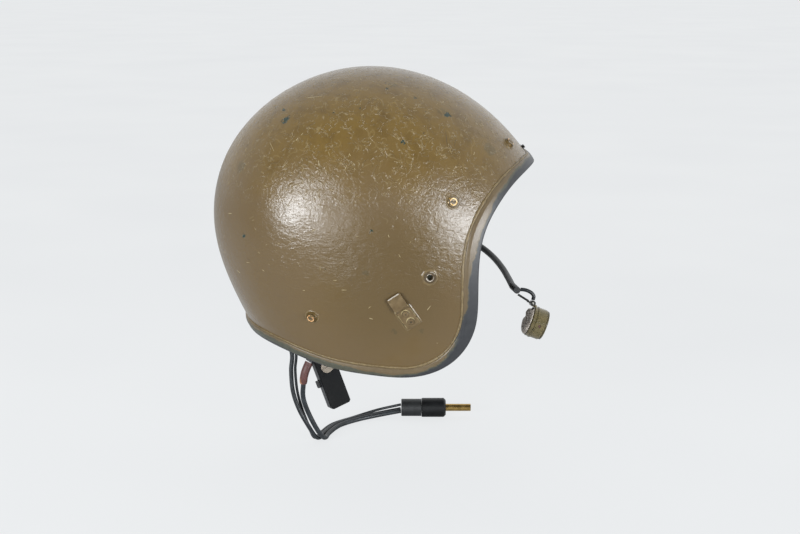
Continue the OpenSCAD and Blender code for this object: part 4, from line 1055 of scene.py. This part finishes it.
def puff(piece):
    """Fills a pad: its cover is blown up a little against its own stiffness, held at
    its back, and no point moves further than PUFF_CAP millimetres."""
    change = piece.modifiers.new("even", "REMESH")
    change.mode, change.voxel_size = "VOXEL", PUFF_VOXEL * MM
    settle(piece)
    rest = np.array([v.co for v in piece.data.vertices])
    held_back = piece.vertex_groups.new(name="back")
    for i, hold in enumerate(liner_share(rest / MM)):
        if hold > 0:
            held_back.add([i], float(hold), "REPLACE")
    cloth = piece.modifiers.new("cover", "CLOTH")
    cloth.settings.quality = 4
    cloth.settings.mass = 0.2
    cloth.settings.tension_stiffness = cloth.settings.compression_stiffness = 12
    cloth.settings.bending_stiffness = 0.4
    cloth.settings.use_pressure = True
    cloth.settings.uniform_pressure_force = 5
    cloth.settings.effector_weights.gravity = 0
    cloth.settings.vertex_group_mass = "back"
    cloth.point_cache.frame_start, cloth.point_cache.frame_end = 1, PUFF_FRAMES
    for at in range(1, PUFF_FRAMES + 1):
        scene.frame_set(at)
    settle(piece)
    scene.frame_set(1)
    moved = np.array([v.co for v in piece.data.vertices]) - rest
    far = np.linalg.norm(moved, axis=1, keepdims=True)
    moved *= np.minimum(1, PUFF_CAP * MM / np.maximum(far, 1e-9))
    piece.data.vertices.foreach_set("co", (rest + moved).astype(np.float32).ravel())


def liner_share(points):
    """1 at the liner and 0 from PUFF_HOLD above it, for holding a pad's back."""
    back, front = (level(points - MIDDLE, PAD_BASE - k) for k in (0, PUFF_HOLD))
    return np.clip((front - 1) / (front - back), 0, 1)


def piping(a, b, ha, hb, side):
    """The sewn cord round a pad's back edge."""
    line = surface(pad_outline(a, b, ha, hb, 120, 1.01), PAD_BASE - 1.9) * (1, side, 1)
    along = unit(np.roll(line, -1, 0) - np.roll(line, 1, 0))
    out = outward(line)
    return closed_tube(line, out, np.cross(along, out), [1.3] * len(line))


# Each pad's place up from the front and to the right, its half sizes in degrees, its
# thickness and its side
PADS = {"crown_pad": [(103, 0, 32, 24, 14, 1)], "brow_pad": [(47, 0, 13, 27, 10, 1)],
        "back_pad": [(181, 0, 22, 27, 30, 1)],
        "side_pads": [(92, 49, 34, 13, 18, 1), (92, 49, 34, 13, 18, -1)]}
for node, places in PADS.items():
    parts = [crowned_pad(*place) for place in places]
    pipes = [piping(a, b, ha, hb, side) for a, b, ha, hb, _, side in places]
    cover = make(node + "_cover", *joined(parts), PAD_LEATHER, "helmet", "pad_leather",
                 replaces=[node], sharp=180)
    puff(cover)
    change = cover.modifiers.new("smooth", "SUBSURF")
    change.levels = change.render_levels = 1
    settle(cover)
    cover.data.shade_smooth()
    if not cover.data.materials:
        cover.data.materials.append(PAD_LEATHER)
    make(node + "_piping", *joined(pipes), PAD_LEATHER, "helmet", "pad_leather")

# ---------------------------------------------------------------- ear cups and seals
CUP_X, CUP_Z = -8, -2
CUP_LONG, CUP_HIGH = 31, 41
SEAL_LOW, SEAL_THICK = 74, 16
CUP_LOW = SEAL_LOW + SEAL_THICK + 0.3
CUP_TOP = CUP_LOW + 15.7
POST_BORE = 5.05


def ear_point(x, y, z, side):
    """A point of the headset: x forward, y up, z out from the ear's middle plane."""
    return np.stack(np.broadcast_arrays(CUP_X + x, side * z, CUP_Z + y), -1)


def oval(a, b, z, side, power=0.8):
    """A squarish oval of half sizes a and b at that height."""
    t = around(96)
    return ear_point(a * bent(np.cos(t), power), b * bent(np.sin(t), power), z, side)


def circle(r, z, side):
    return oval(r, r, z, side, power=1.0)


def ear_cup(side):
    """The cup with the post's bore in its back, from the bore round to the inside."""
    a, b, z = CUP_LONG, CUP_HIGH, CUP_LOW
    rings = [circle(POST_BORE, z + 3.8, side), circle(POST_BORE, CUP_TOP - 0.5, side),
             circle(POST_BORE + 0.5, CUP_TOP, side), circle(POST_BORE + 3, CUP_TOP, side)]
    for t in np.radians(np.linspace(88, 0, 12)):
        # The back of the cup is a flattened dome that rolls into a straight wall
        draw_in = (1 - math.cos(t)) ** 1.1
        rings.append(oval(a - 15.5 * draw_in, b - 18.5 * draw_in,
                          z + 4.7 + 11 * math.sin(t), side))
    rings += [oval(a, b, z + 2.4, side), oval(a + 0.8, b + 0.8, z + 1.9, side),
              oval(a + 0.8, b + 0.8, z + 0.4, side), oval(a, b, z, side),
              oval(a - 2.4, b - 2.4, z, side), oval(a - 2.6, b - 2.6, z + 4.7, side),
              oval(a - 5, b - 5, z + 8.1, side), oval(a - 16, b - 19, z + 10.5, side),
              circle(8.7, z + 10.5, side), circle(8.5, z + 2.7, side)]
    return skin(rings, (ear_point(0, 0, z + 3.8, side), ear_point(0, 0, z + 2.7, side)))


def ear_seal(side):
    """Soft vinyl ring with sewn seams at its foot and fine pulled creases inside."""
    rings = []
    for t in around(180):
        cos, sin = math.cos(t), math.sin(t)
        pulled = max(0, noise.noise(Vector((3 * cos, 3 * sin, 5))))
        crease = (0.28 * noise.noise(Vector((9 * cos, 9 * sin, side)))
                  + 0.2 * math.sin(46 * t) * pulled)
        ring = []
        for w in around(28):
            x, y = 7 * bent(math.cos(w), 0.72), 8 * bent(math.sin(w), 0.72)
            y = np.clip(y, -7.4, 8)
            pull = crease * (1 if x < 0 else 0.4)
            seam = -0.7 * math.exp(-((y - 5.2) / 0.7) ** 2) if x > 0 else 0.0
            off = x + pull + seam
            ring.append(ear_point((CUP_LONG - 5 + off) * bent(cos, 0.8),
                                  (CUP_HIGH - 5 + off) * bent(sin, 0.8),
                                  SEAL_LOW + 8 + y * 7.95 / 8, side))
        rings.append(ring)
    return skin(rings, loop=True)


for side, name in ((-1, "right"), (1, "left")):
    make("ear_cup_shell_" + name, *ear_cup(side), CUP_PLASTIC, "ear_" + name,
         "black_plastic", replaces=["ear_cup_" + name])
    seal = make("ear_seal_ring_" + name, *ear_seal(side), SEAL_VINYL, "ear_" + name,
                "seal_vinyl", replaces=["ear_seal_" + name], sharp=70)

# ---------------------------------------------------------------- boom and microphone
BOOM_DIP, HUB_LOW, BOOM_R = -24, 3.0, 3.0
BOOM_ROUTE = [
    (47.4, 119.1, -14), (60, 118.5, -19.6), (73.5, 116.4, -25.6), (86, 108.4, -31.4),
    (96, 91, -37), (102.6, 66, -41.6), (106.2, 40, -45), (108, 16, -46.6)]
LOOP_ROUTE = [
    (114.4, 4, -46.9), (117.4, 3.9, -47.1), (121, 3.8, -48.1), (124.4, 3.7, -50.1),
    (126.4, 3.6, -53.1), (125.9, 3.5, -56.5)]
hub_u, hub_v, hub_n = seat(HOLE)
dip = math.radians(BOOM_DIP)
arm_way = (math.cos(dip) * hub_u + math.sin(dip) * hub_v) * MIRROR
socket = HOLE * MIRROR + hub_n * MIRROR * (HUB_LOW + 4.2)
arm_line = np.concatenate([[socket + arm_way * s for s in (11.9, 15.5)],
                           route(BOOM_ROUTE, 12)])
make("boom_arm_tube", *skin(sweep(arm_line, BOOM_R, 24)), BOOM_PLASTIC, "boom",
     "black_plastic", replaces=["boom_arm"])
make("mic_lead_loop", *skin(sweep(route(LOOP_ROUTE, 8), 1.7, 20)), LEAD_SKIN, "boom",
     "lead_rubber", replaces=["mic_lead"])

# The creased cover over the microphone's mouth, bulged and pinched in two folds
MIC_AT = np.array((128.5, 0, -77))
MIC_Y, MIC_Z = unit((0.338, 0.225, 0.914)), unit((-0.937, -0.011, 0.35))
MIC_X = np.cross(MIC_Y, MIC_Z)
MOUTH_R, MOUTH_LOW, MOUTH_TALL = 13.3, 6.85, 5.4


def mouth_point(f, t):
    """A point of the cover at that share of its radius and that angle."""
    # It stops short of the hinge lug at the top
    notch = max(0.0, 1 - abs(math.remainder(t - math.pi / 2, 2 * math.pi)) / 0.62)
    r = (MOUTH_R - 3.6 * min(1.0, 2.2 * notch)) * f
    x, y = r * math.cos(t), r * math.sin(t)
    tall = (1 - f ** 3.2) ** 0.55
    folds = 0.5 + noise.noise(Vector((x * 0.22, y * 0.13, 3.1)))
    folds -= 1.3 * abs(noise.noise(Vector((x * 0.16, y * 0.16, 8.4))))
    pinch = math.exp(-((y - 1.5 + 0.25 * x) / 2.4) ** 2)
    z = MOUTH_LOW + 0.3 + (MOUTH_TALL - 1.6 + 1.1 * folds - 1.2 * pinch) * tall
    x *= 1 - 0.05 * pinch * f
    return MIC_AT + x * MIC_X + y * MIC_Y + z * MIC_Z


mouth = [[mouth_point(f, t) for t in around(72)]
         for f in (1, 0.985, 0.96, 0.92, 0.86, 0.79, 0.7, 0.6, 0.5, 0.4, 0.3, 0.2, 0.1)]
foot = [p - (p - MIC_AT) @ MIC_Z * MIC_Z + MOUTH_LOW * MIC_Z for p in mouth[0]]
tips = (MIC_AT + MOUTH_LOW * MIC_Z, mouth_point(0, 0))
make("mic_mouth_cover", *skin([foot] + mouth, tips), MOUTH, "mic", "mic_grey",
     replaces=["mic_front"], sharp=50)

# ---------------------------------------------------------------- chin strap
ANCHOR = side_at(40, -56)
STRAP_TOP, STRAP_LEAN = -WALL - 4.8, math.radians(-8)
STRAP_HALF, STRAP_BEND = 9, 105
anchor_u, anchor_v, anchor_n = seat(ANCHOR)
strap_across = math.cos(STRAP_LEAN) * anchor_u + math.sin(STRAP_LEAN) * anchor_v
strap_along = -math.sin(STRAP_LEAN) * anchor_u + math.cos(STRAP_LEAN) * anchor_v


def strap_point(x, s, z):
    """A point of the right strap half: x across, s along and z out from its anchor."""
    return ANCHOR + x * strap_across + s * strap_along + z * anchor_n


def strap_fall(s):
    """How far the strap has bent in with the shell at s along it."""
    return -s * s / (2 * STRAP_BEND)


def strap(name, long, side, body, node):
    """Half of the chin strap as flat webbing, stitched across near both ends."""
    outline = rounded([(x * STRAP_HALF, z, 0.7)
                       for x, z in ((-1, -1), (1, -1), (1, 1), (-1, 1))], 3)
    rings, weave = [], []
    for s in np.linspace(-STRAP_HALF, long, 60):
        lean = math.atan(-s / STRAP_BEND)
        rings.append([strap_point(x, s - z * math.sin(lean),
                                  STRAP_TOP - 1 + strap_fall(s) + z * math.cos(lean))
                      * (1, -side, 1) for x, z in outline])
        weave += [(s, x + z) for x, z in outline]
    made = make(name, *skin(rings), WEBBING, body, "webbing", replaces=[node], sharp=60)
    cloth = made.data.uv_layers.new(name="webbing")
    for loop in made.data.loops:
        cloth.data[loop.index].uv = weave[loop.vertex_index]
    stitches = []
    for s in (4.5, 6.5, long - 3.5, long - 9):
        for x in np.arange(-7, 7.1, 2):
            line = [strap_point(x + d, s, STRAP_TOP - 2.05 + strap_fall(s)) * (1, -side, 1)
                    for d in (-0.75, 0, 0.75)]
            stitches.append(skin(sweep(line, [0.15, 0.28, 0.15], 6)))
    make(name + "_stitches", *joined(stitches), PAD_LEATHER, body, "webbing")


strap("chin_strap_webbing_right", 80, -1, "strap_right", "chin_strap_right")
strap("chin_strap_webbing_left", 36, 1, "strap_left", "chin_strap_left")

# ---------------------------------------------------------------- finishes of the CAD pieces
FINISHES = {
    HEAD: ["liner_screws"], CUP_BRASS: ["cup_washers"],
    EYELET: ["eyelet_right", "eyelet_left"],
    STEEL: ["screw_nuts", "cup_hanger_right", "cup_hanger_left", "boom_screw", "mic_pin",
            "strap_anchors", "mic_element"],
    DARK_STEEL: ["brow_stud", "strap_buckle", "strap_snap", "mic_yoke", "box_bracket"],
    CLIP: ["lead_clip_right", "lead_clip_left", "clip_rivets"],
    BLACK_PLASTIC: ["boom_washer", "nape_block", "talk_button", "box_switch",
                    "plug_handle"],
    COVER_PLASTIC: ["box_cover"],
    CASE_PLASTIC: ["box_case"],
    BOOM_PLASTIC: ["boom_hub", "boom_knob", "boom_tip", "plug_boot"],
    CUP_PLASTIC: ["earphone_right", "earphone_left"],
    EAR_FOAM: ["earphone_foam_right", "earphone_foam_left"],
    MIC: ["mic_case"], MIC_BACK: ["mic_back"],
    SLEEVE_SKIN: ["mic_screw"], DISC: ["box_disc"], BARREL: ["plug_barrel"]}
BEVELS = {"box_case": 0.5, "box_cover": 0.5, "talk_button": 0.5, "nape_block": 0.6,
          "boom_hub": 0.4, "boom_knob": 0.35, "lead_clip_right": 0.3, "lead_clip_left": 0.3,
          "strap_buckle": 0.4, "liner_screws": 0.15, "cup_washers": 0.12, "box_disc": 0.25,
          "plug_handle": 0.4, "plug_boot": 0.6, "earphone_right": 0.4, "earphone_left": 0.4}
for finish, names in FINISHES.items():
    for name in names:
        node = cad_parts[name]
        node.data.materials.clear()
        node.data.materials.append(finish)
        node.data.shade_smooth()
        node.data.set_sharp_from_angle(angle=math.radians(35))
        if name in BEVELS:
            change = node.modifiers.new("edges", "BEVEL")
            change.width, change.segments = BEVELS[name] * MM, 2
            change.limit_method, change.angle_limit = "ANGLE", math.radians(40)

# ---------------------------------------------------------------- floor and lamps
FLOOR_Z, FLOOR_HALF = -0.2, 30


def seamless_paper():
    """Pale matt paper. The camera sees mostly its own plain shade, with the helmet's
    shadow left on it. To all else it grows dark towards the room in front."""
    material, tree, shader, place = new_finish("seamless_paper", Roughness=0.9)
    fine = add(tree, "TexNoise", {"Vector": place, "Scale": per(400), "Detail": 2.0})
    colour = add(tree, "Mix", {0: fine, 6: linear("#E8EAEC"), 7: linear("#EEF0F1")}, **RGBA)
    plain = add(tree, "Emission", {"Color": colour, "Strength": 1.0})
    seen = add(tree, "LightPath", take="Is Camera Ray")
    ahead = add(tree, "SeparateXYZ", {0: place}, take=1)
    fall = add(tree, "MapRange", {0: ahead, 1: -0.7, 2: 0.05, 3: 0.1, 4: 0.85})
    fall = add(tree, "Mix", {0: seen, 2: fall, 3: 1.0}, data_type="FLOAT")
    dimmed = add(tree, "Mix", {0: fall, 6: linear("#101010"), 7: colour}, **RGBA)
    dress(tree, shader, dimmed)
    share = add(tree, "Math", {0: seen, 1: 0.88}, operation="MULTIPLY")
    mixed = add(tree, "MixShader", {0: share, 1: shader.outputs[0], 2: plain})
    tree.links.new(mixed, tree.nodes["Material Output"].inputs["Surface"])
    return material


stage_mesh = bpy.data.meshes.new("floor")
stage_mesh.from_pydata([(x * FLOOR_HALF, y * FLOOR_HALF, FLOOR_Z)
                        for x, y in ((-1, -1), (1, -1), (1, 1), (-1, 1))], [], [(0, 1, 2, 3)])
stage_mesh.materials.append(seamless_paper())
floor = bpy.data.objects.new("floor", stage_mesh)
scene.collection.objects.link(floor)


def softbox(name, target, way, far, size, power, lights=True):
    """A softbox, wide by tall, that far from a point of the helmet and facing it. One
    that doesn't light the helmet is only mirrored in its gloss."""
    lamp = bpy.data.lights.new(name, "AREA")
    lamp.shape, lamp.energy, lamp.color = "RECTANGLE", power, (0.94, 0.97, 1.0)
    lamp.size, lamp.size_y = size
    held_lamp = bpy.data.objects.new(name, lamp)
    held_lamp.location = Vector(target) + Vector(way).normalized() * far
    held_lamp.rotation_euler = Vector(way).to_track_quat("Z", "Y").to_euler()
    held_lamp.visible_camera, held_lamp.visible_diffuse = False, lights
    scene.collection.objects.link(held_lamp)


softbox("softbox_left", (-0.079, -0.11, 0.053), (-0.608, -0.78, 0.16), 1.7, (0.62, 0.56),
        29)
softbox("softbox_low", (-0.055, -0.117, 0.036), (-0.3, -0.951, -0.07), 1.2, (0.46, 0.36),
        2.8, lights=False)
softbox("softbox_right", (0.053, -0.107, 0.036), (0.66, -0.75, 0.06), 1.7, (0.8, 0.54), 23)
softbox("softbox_side", (0.07, -0.1, 0.035), (0.87, -0.49, 0.06), 1.7, (0.5, 0.6), 12,
        lights=False)

# The room is paler behind the helmet than in front of it, and to its right
world = bpy.data.worlds.new("room")
scene.world = world
world.use_nodes = True
room = world.node_tree
way = add(room, "TexCoord", take="Generated")
back = add(room, "SeparateXYZ", {0: way}, take=1)
strength = add(room, "MapRange", {0: back, 1: -0.75, 2: 0.6, 3: 0.22, 4: 0.98},
               interpolation_type="SMOOTHSTEP")
across = add(room, "SeparateXYZ", {0: way}, take=0)
tilt = add(room, "MapRange", {0: across, 1: -1.0, 2: 1.0, 3: 0.84, 4: 1.36})
strength = add(room, "Math", {0: strength, 1: tilt}, operation="MULTIPLY")
seen = add(room, "LightPath", take="Is Camera Ray")
strength = add(room, "Mix", {0: seen, 2: strength, 3: 0.9}, data_type="FLOAT")
glow = room.nodes["Background"]
glow.inputs["Color"].default_value = linear("#F6F8FA")
room.links.new(strength, glow.inputs["Strength"])
scene.view_settings.view_transform = "Standard"
